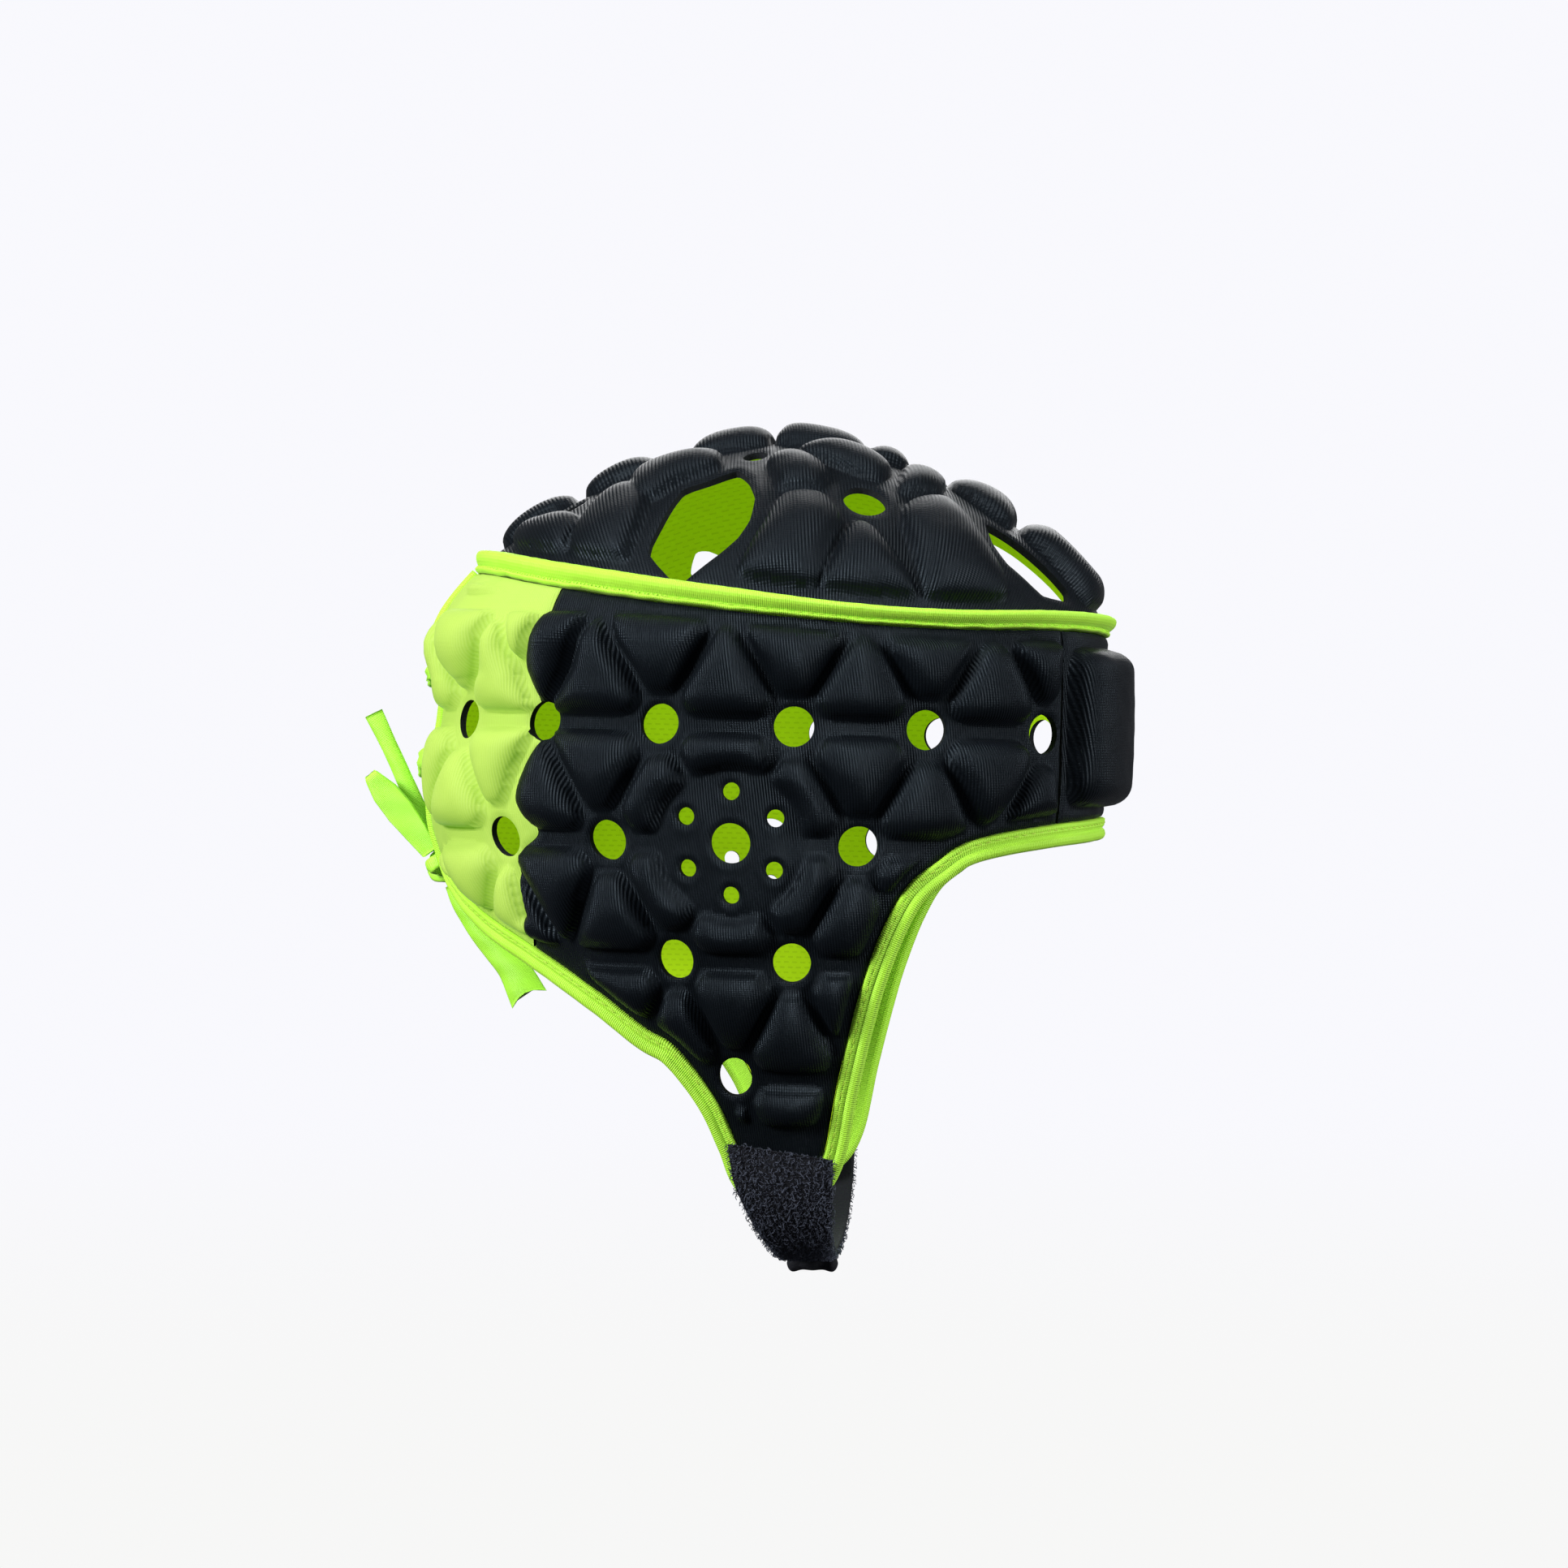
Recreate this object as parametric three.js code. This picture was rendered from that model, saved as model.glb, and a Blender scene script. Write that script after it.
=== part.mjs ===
// Rugby scrum cap: a padded head guard of foam pads under knit, laced at the back
// and held by a strap under the chin. Millimetres, +Z up, +X towards the brow,
// -Y the wearer's right. The origin is the inside of the crown's top, where it
// sits on the head.
import * as THREE from "three";
import { mergeVertices } from "three/addons/utils/BufferGeometryUtils.js";

// Driving sizes of the head that the cap is shaped on
const HEAD_FRONT = 99.5;
const HEAD_REAR = 109;
const HEAD_SIDE = 81;
const CROWN_DEPTH = 62;
const OVAL_POWER = { front: 2.3, rear: 1.9 };
const DOME_POWER = 1.6;

// Driving sizes of the padded shell
const WALL = 2.5;
const PAD_RISE = 7;
const PAD_SLOPE = 9;
const GROOVE = 3.8;
const PAD_ROUNDING = 1.8;
const EDGE_MARGIN = 2.6;
const BROW_RISE = 8.5;
const BROW_MARGIN = { top: 3.2, bottom: 2.4, side: 0.3, corner: 6 };
const ROW = 35;
const PADS_AROUND = 15.3;
const HOLE = 12;
const EAR_PLATE = 43;
const EAR_HOLE = 5.3;
const EAR_HOLE_CIRCLE = 30.8;
const PATTERN_TILT = THREE.MathUtils.degToRad(1.4);
const EAR_DEPTH = 1.73;
const EAR_SHARE = 0.53;
const CROWN_HOLE = 13;
const DOME_SPREAD = 0.78;

// Driving sizes of the bindings, the lace and the strap
const BINDING = 6.5;
const BINDING_RISE = 4.6;
const HEM = 7.2;
const HEM_RISE = 1.5;
const REAR_HEM = 4.5;
const LACE_GAP = 14;
const LACE_WIDE = 5.5;
const LACE_THICK = 1.6;
const STRAP_WIDE = 31.7;
const STRAP_THICK = 2.5;
const STRAP_DROP = 40;
const STRAP_SEAM = 5;
const STRAP_TOP = 2.62;
const STRAP_LAP = 0.06;
const STRAP_PATCH = 0.2;
const STRAP_MIDDLE = 0.4;
const STRAP_CLEAR = 1;
const STRAP_POWER = 2.8;

// The gap kept between solids that touch, and how finely each is faceted
const GAP = 0.3;
const OUTLINE_STEP = 6;
const BINDING_STEP = 9.5;
const GROOVE_STEP = 5;
const PAD_STEP = 9;
const SHOULDER = 3.4;
const HOLE_SIDES = 10;
const STRAP_STEPS = 12;
const LACE_STEPS = 8;
const OVAL_STEPS = 720;

// How far apart the lining's facet corners lie on each panel
const LINING_STEPS = { crown: 13, brow: 16, side: 16, rear: 14 };

// How near facet corners may lie: to an outline on a groove or on a pad, to
// each other, and on the lining as a share of its step
const NEAREST = { groove: 2.6, pad: 1.9, apart: 2.2, lining: 0.4 };

// How the head draws in below the crown's foot: depth in rows of pads, and
// front, rear and side reach as shares of the head's
const SECTIONS = [
  { rows: 0.0, front: 1.0, rear: 1.0, side: 1.0 },
  { rows: 0.3, front: 1.0, rear: 0.965, side: 1.0 },
  { rows: 1.1, front: 0.995, rear: 0.995, side: 1.0 },
  { rows: 1.5, front: 0.985, rear: 1.005, side: 1.0 },
  { rows: 1.95, front: 0.965, rear: 0.965, side: 0.99 },
  { rows: 2.4, front: 0.95, rear: 0.92, side: 0.965 },
  { rows: 2.95, front: 0.94, rear: 0.87, side: 0.91 },
  { rows: 3.65, front: 0.93, rear: 0.83, side: 0.81 },
  { rows: 4.35, front: 0.92, rear: 0.81, side: 0.715 },
  { rows: 5.1, front: 0.91, rear: 0.78, side: 0.625 },
];

// The side's lower edge from the brow's centre, round the cheek flap and back
// to the nape, in pads along and rows up from the ear
const SIDE_EDGE = [
  { along: 4.04, up: 0.33 },
  { along: 3.46, up: 0.3 },
  { along: 2.6, up: 0.22 },
  { along: 1.92, up: 0.08 },
  { along: 1.62, up: -0.12 },
  { along: 1.41, up: -0.32 },
  { along: 1.26, up: -0.61 },
  { along: 1.13, up: -0.97 },
  { along: 1.02, up: -1.38 },
  { along: 0.88, up: -2.05 },
  { along: 0.77, up: -2.68 },
  { along: 0.6, up: -2.93 },
  { along: 0.36, up: -3.0 },
  { along: 0.12, up: -2.85 },
  { along: -0.01, up: -2.55 },
  { along: -0.21, up: -2.16 },
  { along: -0.55, up: -1.76 },
  { along: -0.85, up: -1.6 },
  { along: -1.29, up: -1.31 },
  { along: -1.92, up: -0.96 },
  { along: -2.64, up: -0.64 },
  { along: -3.05, up: -0.42 },
];
const NAPE_CORNER = -0.12;

// Where the brow panel meets the side panel, in the same pads and rows
const BROW_JOIN = { along: 2.74, top: 1.8, foot: 0.24 };

// Where the lime rear panel meets the black side panel, from the crown seam
// down to the hem, in pads along and rows up from the ear
const PANEL_JOIN = [
  { along: -1.6, up: 1.94 },
  { along: -1.7, up: 1.69 },
  { along: -1.79, up: 1.41 },
  { along: -1.68, up: 1.15 },
  { along: -1.6, up: 1.0 },
  { along: -1.66, up: 0.8 },
  { along: -1.78, up: 0.57 },
  { along: -1.79, up: 0.3 },
  { along: -1.63, up: 0.05 },
  { along: -1.84, up: -0.12 },
  { along: -1.9, up: -0.3 },
  { along: -1.86, up: -0.65 },
];
const JOIN_FOOT = { along: -1.93, up: -0.96 };

// The crown seam: height under the crown's foot at the brow, its climb to the
// rear, and the shares of the half girth between which it climbs
const SEAM = { brow: 1.5, climb: 21, from: 0.25, to: 0.92 };

// Pads of the crown's right half, as shares of the crown's front or rear reach
// and of its side reach; the middle ones lie across the centre line
const CROWN_PADS = [
  { middle: true, corners: [[-0.65, 0.1], [-0.455, 0.09]] },
  { middle: true, corners: [[-0.43, 0.1], [-0.285, 0.11]] },
  { middle: true, corners: [[-0.215, 0.12], [-0.13, 0.145], [-0.035, 0.12]] },
  { middle: true, corners: [[-0.02, 0.12], [0.1, 0.145], [0.215, 0.12]] },
  { middle: true, corners: [[0.22, 0.12], [0.305, 0.13]] },
  { middle: true, corners: [[0.4, 0.13], [0.55, 0.25]] },
  { middle: true, corners: [[0.575, 0.21], [0.86, 0.29]] },
  { corners: [[-0.49, 0.17], [-0.57, 0.13], [-0.63, 0.34], [-0.47, 0.52], [-0.41, 0.35]] },
  { corners: [[-0.46, 0.53], [-0.41, 0.34], [-0.34, 0.235], [-0.26, 0.32], [-0.27, 0.52], [-0.33, 0.69]] },
  { corners: [[-0.31, 0.4], [-0.32, 0.17], [-0.22, 0.15], [-0.12, 0.2], [-0.12, 0.38]] },
  { corners: [[0.03, 0.24], [0.1, 0.15], [0.225, 0.15], [0.28, 0.24], [0.24, 0.36]] },
  { corners: [[-0.035, 0.25], [0.05, 0.24], [0.14, 0.36], [0.12, 0.45], [0.01, 0.45]] },
  { corners: [[0.285, 0.39], [0.3, 0.15], [0.395, 0.14], [0.38, 0.31]] },
  { corners: [[0.02, 0.47], [0.145, 0.46], [0.18, 0.53], [0.12, 0.85], [-0.09, 0.82]] },
  { corners: [[0.2, 0.52], [0.12, 0.85], [0.43, 0.82]] },
  { corners: [[0.28, 0.46], [0.4, 0.31], [0.46, 0.38], [0.65, 0.67], [0.43, 0.83]] },
];

// Openings of the crown's right half, in the same shares; round ones have a
// middle, and a width as a share of the largest one's
const CROWN_OPENINGS = [
  { corners: [[-0.083, 0.36], [-0.046, 0.42], [-0.037, 0.53], [-0.09, 0.63], [-0.17, 0.68],
    [-0.21, 0.675], [-0.257, 0.6], [-0.195, 0.42]] },
  { corners: [[0.49, 0.31], [0.56, 0.295], [0.76, 0.31], [0.765, 0.4], [0.7, 0.49], [0.57, 0.47],
    [0.52, 0.41]] },
  { middle: [0.215, 0.45], wide: 1 },
  { middle: [-0.055, 0.225], wide: 0.6 },
  { middle: [-0.45, 0.16], wide: 0.5 },
];

// The chin strap's edges from its top, on the flap, to the seam under the
// chin: share of the drop, and the rear and front edge from the head's middle
// as shares of the strap's width
const STRAP_EDGES = [
  { drop: -STRAP_LAP, rear: -0.394, front: 0.606 },
  { drop: 0.3, rear: -0.334, front: 0.6 },
  { drop: 0.6, rear: -0.24, front: 0.587 },
  { drop: 0.85, rear: -0.107, front: 0.562 },
  { drop: 1.0, rear: 0.013, front: 0.533 },
];

// The bindings' sections, as shares of their width and of their rise over the
// wall
const BINDING_SECTION = [
  { up: 0, rise: 0.22 },
  { up: 0.34, rise: 0.3 },
  { up: 0.46, rise: 0.91 },
  { up: 0.8, rise: 1 },
  { up: 1, rise: 0.48 },
];
const HEM_SECTION = [
  { beyond: 0.45, rise: 0.53 },
  { beyond: 0.6, rise: 1 },
  { beyond: 0.9, rise: 1 },
  { beyond: 1, rise: -1.5 },
];

// Routes of the lace's free ends, chosen by hand, with the lace's width along
// them as shares of its plain width
const LACE_ROUTES = {
  lace_end_upper: {
    wide: [1, 0.9, 0.8, 1],
    points: [[-110.8, 2.5, -125.7], [-116.5, 3, -114.8], [-124, 3.5, -98], [-131.5, 4, -82.4]],
  },
  lace_loop: {
    wide: [1, 1.25, 1.3, 0.9],
    points: [[-111.9, -2.8, -126.6], [-118.5, -3.4, -117.5], [-125, -4, -109.5], [-130.5, -4, -102.5]],
  },
  lace_end_lower: {
    wide: [0.9, 1, 1.5, 2.1, 2.6],
    points: [[-105.2, 0, -136.8], [-101.8, -1, -144.4], [-94.6, -2, -154.2], [-86.2, -3, -163],
      [-80.5, -4, -173.2]],
  },
};
const LACE_CROSSINGS = { upper: 0.3, lower: 1.13 };
const LACE_REACH = 1.12;
const LACE_KNOT = { rows: 1.95, long: 13, tall: 12, over: 1.65 };

// Derived sizes
const EAR_Z = -(CROWN_DEPTH + EAR_DEPTH * ROW);
const FLAP_RISE = WALL + HEM_RISE;

const oval = makeOval();
const HALF_GIRTH = oval.length;
const PITCH = (2 * HALF_GIRTH) / PADS_AROUND;
const EAR_GIRTH = HALF_GIRTH * EAR_SHARE;

const lime = new THREE.MeshStandardMaterial({ color: 0xaee62a, roughness: 0.7, metalness: 0 });
const black = new THREE.MeshStandardMaterial({ color: 0x15171c, roughness: 0.85, metalness: 0 });
const pile = new THREE.MeshStandardMaterial({ color: 0x1b1d24, roughness: 0.95, metalness: 0 });
const tape = new THREE.MeshStandardMaterial({ color: 0xb6ee30, roughness: 0.6, metalness: 0 });

// The head's widest outline, from the brow round the right side to the nape
function makeOval() {
  const points = [];
  for (let i = 0; i <= OVAL_STEPS; i += 1) {
    const turn = (Math.PI * i) / OVAL_STEPS;
    const ahead = Math.cos(turn) >= 0;
    const power = 2 / (ahead ? OVAL_POWER.front : OVAL_POWER.rear);
    const reach = ahead ? HEAD_FRONT : HEAD_REAR;
    const x = Math.sign(Math.cos(turn)) * reach * Math.abs(Math.cos(turn)) ** power;
    points.push(new THREE.Vector2(x, -HEAD_SIDE * Math.abs(Math.sin(turn)) ** power));
  }
  const girth = [0];
  for (let i = 1; i < points.length; i += 1) {
    girth.push(girth[i - 1] + points[i].distanceTo(points[i - 1]));
  }
  return { points, girth, length: girth[girth.length - 1] };
}

function ovalAt(around) {
  const { points, girth } = oval;
  let low = 0;
  let high = girth.length - 1;
  while (high - low > 1) {
    const middle = (low + high) >> 1;
    if (girth[middle] <= around) low = middle;
    else high = middle;
  }
  const share = (around - girth[low]) / (girth[high] - girth[low]);
  return points[low].clone().lerp(points[high], share);
}

// A smooth value from a table's column, by its first column
function readTable(table, key, column, at) {
  let i = 0;
  while (i < table.length - 2 && table[i + 1][key] <= at) i += 1;
  const row = (j) => table[Math.min(Math.max(j, 0), table.length - 1)];
  const span = row(i + 1)[key] - row(i)[key];
  const share = Math.min(Math.max((at - row(i)[key]) / span, 0), 1);
  const slope = (j) => {
    const before = row(j - 1);
    const after = row(j + 1);
    return (after[column] - before[column]) / (after[key] - before[key]);
  };
  const a = share * share;
  const b = a * share;
  return (2 * b - 3 * a + 1) * row(i)[column] + (b - 2 * a + share) * span * slope(i)
    + (3 * a - 2 * b) * row(i + 1)[column] + (b - a) * span * slope(i + 1);
}

function domeShare(z) {
  const rise = 1 - Math.min(Math.max(-z / CROWN_DEPTH, 0), 1);
  return (1 - rise ** DOME_POWER) ** (1 / DOME_POWER);
}

// A point of the lining, by distance round the head and height
function lining(around, z) {
  const q = ovalAt(around);
  if (z >= -CROWN_DEPTH) {
    const share = domeShare(z);
    return new THREE.Vector3(q.x * share, q.y * share, z);
  }
  const rows = (-CROWN_DEPTH - z) / ROW;
  const reach = readTable(SECTIONS, "rows", q.x > 0 ? "front" : "rear", rows);
  return new THREE.Vector3(q.x * reach, q.y * readTable(SECTIONS, "rows", "side", rows), z);
}

function onHead(around, z, out) {
  const step = 0.5;
  const point = lining(around, z);
  const along = lining(around + step, z).sub(lining(around - step, z));
  const up = lining(around, z + step).sub(lining(around, z - step));
  return point.addScaledVector(up.cross(along).normalize(), out);
}

// The side pattern: pads along from the ear towards the brow and rows up, in
// millimetres, to a distance round the head and a height, and back
function toHead(s, t) {
  const cos = Math.cos(PATTERN_TILT);
  const sin = Math.sin(PATTERN_TILT);
  return { around: EAR_GIRTH - cos * s - sin * t, z: EAR_Z - sin * s + cos * t };
}

function toPattern(around, z) {
  const cos = Math.cos(PATTERN_TILT);
  const sin = Math.sin(PATTERN_TILT);
  const a = around - EAR_GIRTH;
  const b = z - EAR_Z;
  return new THREE.Vector2(-cos * a - sin * b, -sin * a + cos * b);
}

function seamHeight(around) {
  const share = (around / HALF_GIRTH - SEAM.from) / (SEAM.to - SEAM.from);
  return -CROWN_DEPTH + SEAM.brow + SEAM.climb * THREE.MathUtils.smoothstep(share, 0, 1);
}

// The height reached by going up the lining from the crown seam
function aboveSeam(around, distance) {
  const z = seamHeight(around);
  const step = lining(around, z + 1).distanceTo(lining(around, z));
  return z + distance / step;
}

// The crown laid flat: a share of the way out from the top, times the oval
function toDome(q) {
  const power = q.x > 0 ? OVAL_POWER.front : OVAL_POWER.rear;
  const reach = q.x > 0 ? HEAD_FRONT : HEAD_REAR;
  const share = (Math.abs(q.x / reach) ** power + Math.abs(q.y / HEAD_SIDE) ** power) ** (1 / power);
  const turn = (Math.min(Math.max(share, 1e-4), 1) * Math.PI) / 2;
  const out = Math.sin(turn) ** (2 / DOME_POWER);
  const down = 1 - Math.cos(turn) ** (2 / DOME_POWER);
  return new THREE.Vector3((q.x * out) / share, (q.y * out) / share, -CROWN_DEPTH * down);
}

function flatShare(z) {
  return (Math.acos((1 + z / CROWN_DEPTH) ** (DOME_POWER / 2)) * 2) / Math.PI;
}

function onDome(q, out) {
  const step = 0.5;
  const shift = (x, y) => toDome(new THREE.Vector2(q.x + x, q.y + y));
  const ahead = shift(step, 0).sub(shift(-step, 0));
  const aside = shift(0, step).sub(shift(0, -step));
  const safe = q.length() < step ? new THREE.Vector2(step, step) : q;
  return toDome(safe).addScaledVector(ahead.cross(aside).normalize(), out);
}

// Flat geometry
function inside(point, loop) {
  let found = false;
  for (let i = 0, j = loop.length - 1; i < loop.length; j = i, i += 1) {
    const a = loop[i];
    const b = loop[j];
    if (a.y > point.y !== b.y > point.y && point.x < ((b.x - a.x) * (point.y - a.y)) / (b.y - a.y) + a.x) {
      found = !found;
    }
  }
  return found;
}

function distanceToLoop(point, loop) {
  let best = Infinity;
  for (let i = 0, j = loop.length - 1; i < loop.length; j = i, i += 1) {
    const a = loop[j];
    const edge = loop[i].clone().sub(a);
    const share = Math.min(Math.max(point.clone().sub(a).dot(edge) / edge.lengthSq(), 0), 1);
    best = Math.min(best, point.distanceTo(a.clone().addScaledVector(edge, share)));
  }
  return best;
}

function circle(middle, wide, sides) {
  const points = [];
  for (let i = 0; i < sides; i += 1) {
    const turn = (2 * Math.PI * (i + 0.5)) / sides;
    points.push(new THREE.Vector2(Math.cos(turn), Math.sin(turn)).multiplyScalar(wide / 2).add(middle));
  }
  return points;
}

function evenly(points, step, closed) {
  const path = closed ? [...points, points[0]] : points;
  const out = [];
  for (let i = 1; i < path.length; i += 1) {
    const parts = Math.max(1, Math.round(path[i].distanceTo(path[i - 1]) / step));
    for (let j = 0; j < parts; j += 1) out.push(path[i - 1].clone().lerp(path[i], j / parts));
  }
  if (!closed) out.push(path[path.length - 1]);
  return out;
}

// A loop that a round hole overlaps gets the hole's edge in place of its own
function bite(loop, hole) {
  const cut = loop.map((p) => inside(p, hole));
  if (!cut.includes(true)) return loop;
  const start = cut.findIndex((c, i) => c && !cut[(i + loop.length - 1) % loop.length]);
  const turned = [...loop.slice(start), ...loop.slice(0, start)];
  const kept = turned.filter((p) => !inside(p, hole));
  const arc = hole.filter((p) => inside(p, loop) && distanceToLoop(p, loop) > 1);
  const last = kept[kept.length - 1];
  const first = kept[0];
  const route = [];
  while (arc.length > 0) {
    const from = route.length > 0 ? route[route.length - 1] : last;
    arc.sort((a, b) => a.distanceTo(from) - b.distanceTo(from));
    route.push(arc.shift());
  }
  return route.length > 0 ? [...kept, ...route] : [first, ...kept.slice(1)];
}

// Delaunay triangles of flat points, by adding them one at a time
function triangulate(points) {
  const span = 1e4;
  const corners = [[-span, -span], [span, -span], [0, span]];
  const all = [...points, ...corners.map(([x, y]) => new THREE.Vector2(x, y))];
  const n = points.length;
  const make = (a, b, c) => {
    const [p, q, r] = [all[a], all[b], all[c]];
    const d = 2 * (p.x * (q.y - r.y) + q.x * (r.y - p.y) + r.x * (p.y - q.y));
    const [pp, qq, rr] = [p.lengthSq(), q.lengthSq(), r.lengthSq()];
    const x = (pp * (q.y - r.y) + qq * (r.y - p.y) + rr * (p.y - q.y)) / d;
    const y = (pp * (r.x - q.x) + qq * (p.x - r.x) + rr * (q.x - p.x)) / d;
    return { corners: d > 0 ? [a, b, c] : [a, c, b], x, y, reach: (p.x - x) ** 2 + (p.y - y) ** 2 };
  };
  let triangles = [make(n, n + 1, n + 2)];
  points.forEach((point, index) => {
    const edges = new Map();
    triangles = triangles.filter((tri) => {
      if ((point.x - tri.x) ** 2 + (point.y - tri.y) ** 2 >= tri.reach) return true;
      tri.corners.forEach((a, k) => {
        const b = tri.corners[(k + 1) % 3];
        if (edges.has(`${b},${a}`)) edges.delete(`${b},${a}`);
        else edges.set(`${a},${b}`, [a, b]);
      });
      return false;
    });
    edges.forEach(([a, b]) => triangles.push(make(a, b, index)));
  });
  return triangles.filter((tri) => tri.corners.every((c) => c < n)).map((tri) => tri.corners);
}

// A small fixed shift that keeps no four points on one circle
function nudge(point, index) {
  const turn = index * 2.399963;
  return new THREE.Vector2(point.x + 0.004 * Math.cos(turn), point.y + 0.004 * Math.sin(turn));
}

function fill(edges, inner, region) {
  const border = edges.flat();
  const points = [...border, ...inner].map(nudge);
  const found = triangulate(points).filter((tri) => {
    const middle = new THREE.Vector2();
    tri.forEach((c) => middle.addScaledVector(points[c], 1 / 3));
    return region(middle);
  });
  return { points, triangles: found };
}

// One closed wall: an outer face with relief, an inner face on the lining, and
// the cut edges of its outline and holes between them
function shell(edges, relief, plain, region, place) {
  const face = fill(edges, relief.map((r) => r.point), region);
  const back = fill(edges, plain, region);
  const count = edges.flat().length;
  const positions = [];
  const index = [];
  const add = (point, out) => {
    positions.push(...place(point, out).toArray());
  };
  const border = edges.flat();
  border.forEach((p) => add(p, WALL));
  relief.forEach((r) => add(r.point, WALL + r.rise));
  const below = count + relief.length;
  border.forEach((p) => add(p, 0));
  plain.forEach((p) => add(p, 0));
  face.triangles.forEach((tri) => index.push(...tri));
  back.triangles.forEach(([a, b, c]) => index.push(below + a, below + c, below + b));
  const open = new Map();
  face.triangles.forEach((tri) => tri.forEach((a, k) => {
    const b = tri[(k + 1) % 3];
    if (open.has(`${b},${a}`)) open.delete(`${b},${a}`);
    else open.set(`${a},${b}`, [a, b]);
  }));
  open.forEach(([a, b]) => index.push(b, a, below + a, below + a, below + b, b));
  return solid(positions, index);
}

// A closed body with its faces turned outwards
function solid(positions, index) {
  let geometry = new THREE.BufferGeometry();
  geometry.setAttribute("position", new THREE.Float32BufferAttribute(positions, 3));
  geometry.setIndex(index);
  geometry = mergeVertices(geometry, 1e-4);
  const spot = geometry.getAttribute("position");
  const list = geometry.index.array;
  const corner = (i) => new THREE.Vector3().fromBufferAttribute(spot, list[i]);
  let volume = 0;
  for (let i = 0; i < list.length; i += 3) {
    volume += corner(i).dot(corner(i + 1).cross(corner(i + 2)));
  }
  if (volume < 0) geometry.setIndex(Array.from(list).reverse());
  return geometry;
}

function mirrored(geometry) {
  const copy = geometry.clone().applyMatrix4(new THREE.Matrix4().makeScale(1, -1, 1));
  copy.setIndex(Array.from(copy.index.array).reverse());
  return copy;
}

// Pads: how far a point lies inside a pad, and the pad's height there
function padDepth(point, pad, edges) {
  if (!inside(point, pad.loop)) return -distanceToLoop(point, pad.loop);
  let depth = distanceToLoop(point, pad.loop) - GROOVE / 2;
  edges.forEach((edge, i) => {
    const clear = inside(point, edge) === (i === 0);
    const gap = distanceToLoop(point, edge) - (i === 0 ? EDGE_MARGIN : pad.holeMargin);
    depth = Math.min(depth, clear ? gap : -1);
  });
  return depth;
}

function padRise(depth, pad) {
  const share = Math.min(Math.max(depth / pad.slope, 0), 1);
  return pad.rise * (1 - (1 - share) ** PAD_ROUNDING);
}

// The deepest point of a pad, from its middle by smaller and smaller steps
function padSummit(pad, edges) {
  const middle = new THREE.Vector2();
  pad.loop.forEach((p) => middle.addScaledVector(p, 1 / pad.loop.length));
  let best = { point: middle, depth: padDepth(middle, pad, edges) };
  for (let step = PAD_SLOPE; step > 0.5; step *= 0.6) {
    for (let k = 0; k < 8; k += 1) {
      const turn = (k * Math.PI) / 4;
      const point = best.point.clone().add(new THREE.Vector2(step * Math.cos(turn), step * Math.sin(turn)));
      const depth = padDepth(point, pad, edges);
      if (depth > best.depth) best = { point, depth };
    }
  }
  return best;
}

// A pad's points: a shoulder ring found along rays from the summit
function padRelief(pad, edges) {
  const summit = padSummit(pad, edges);
  if (summit.depth < 2.4) return [];
  const relief = [{ point: summit.point, rise: padRise(summit.depth, pad) }];
  const level = Math.min(SHOULDER, summit.depth * 0.45);
  pad.loop.forEach((a, i) => {
    const b = pad.loop[(i + 1) % pad.loop.length];
    const parts = Math.max(3, Math.round(a.distanceTo(b) / PAD_STEP));
    for (let k = 0; k < parts; k += 1) {
      const ray = a.clone().lerp(b, (k + 0.5) / parts).sub(summit.point);
      let reach = 0;
      for (let part = 0.02; part <= 1; part += 0.02) {
        if (padDepth(summit.point.clone().addScaledVector(ray, part), pad, edges) <= level) break;
        reach = part;
      }
      const shoulder = summit.point.clone().addScaledVector(ray, reach);
      relief.push({ point: shoulder, rise: padRise(padDepth(shoulder, pad, edges), pad) });
    }
  });
  return relief;
}

function grooves(pads) {
  return pads.flatMap((pad) => evenly(pad.loop, GROOVE_STEP, true)).map((point) => ({ point, rise: 0 }));
}

// Points kept far enough from an outline and from each other for clean facets
function thin(relief, edges) {
  const kept = [];
  relief.forEach((r) => {
    const border = r.rise === 0 ? NEAREST.groove : NEAREST.pad;
    if (edges.some((edge) => distanceToLoop(r.point, edge) < border)) return;
    if (kept.some((k) => k.point.distanceTo(r.point) < NEAREST.apart)) return;
    kept.push(r);
  });
  return kept;
}

// A plain grid of points for the smooth inner face
function scatter(edges, region, step) {
  const all = edges[0];
  const low = new THREE.Vector2(Math.min(...all.map((p) => p.x)), Math.min(...all.map((p) => p.y)));
  const high = new THREE.Vector2(Math.max(...all.map((p) => p.x)), Math.max(...all.map((p) => p.y)));
  const points = [];
  for (let x = low.x; x < high.x; x += step) {
    for (let y = low.y; y < high.y; y += step) {
      const point = new THREE.Vector2(x, y);
      const clear = edges.every((edge) => distanceToLoop(point, edge) > step * NEAREST.lining);
      if (clear && region(point)) points.push(point);
    }
  }
  return points;
}

// The side's own pattern
const unit = (row) => new THREE.Vector2(row.along * PITCH, row.up * ROW);
const NAPE_AROUND = HALF_GIRTH - LACE_GAP / 2 - REAR_HEM;
const napeLow = EAR_Z + NAPE_CORNER * ROW;
const napeTop = seamHeight(NAPE_AROUND) - GAP;
const napeEdge = [0, 0.25, 0.5, 0.75, 1].map((share) => (
  toPattern(NAPE_AROUND, napeLow + (napeTop - napeLow) * share)
));
const sideEdge = new THREE.SplineCurve([...SIDE_EDGE.map(unit), ...napeEdge]);
sideEdge.arcLengthDivisions = 600;
const panelJoin = new THREE.SplineCurve(PANEL_JOIN.map(unit));

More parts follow.
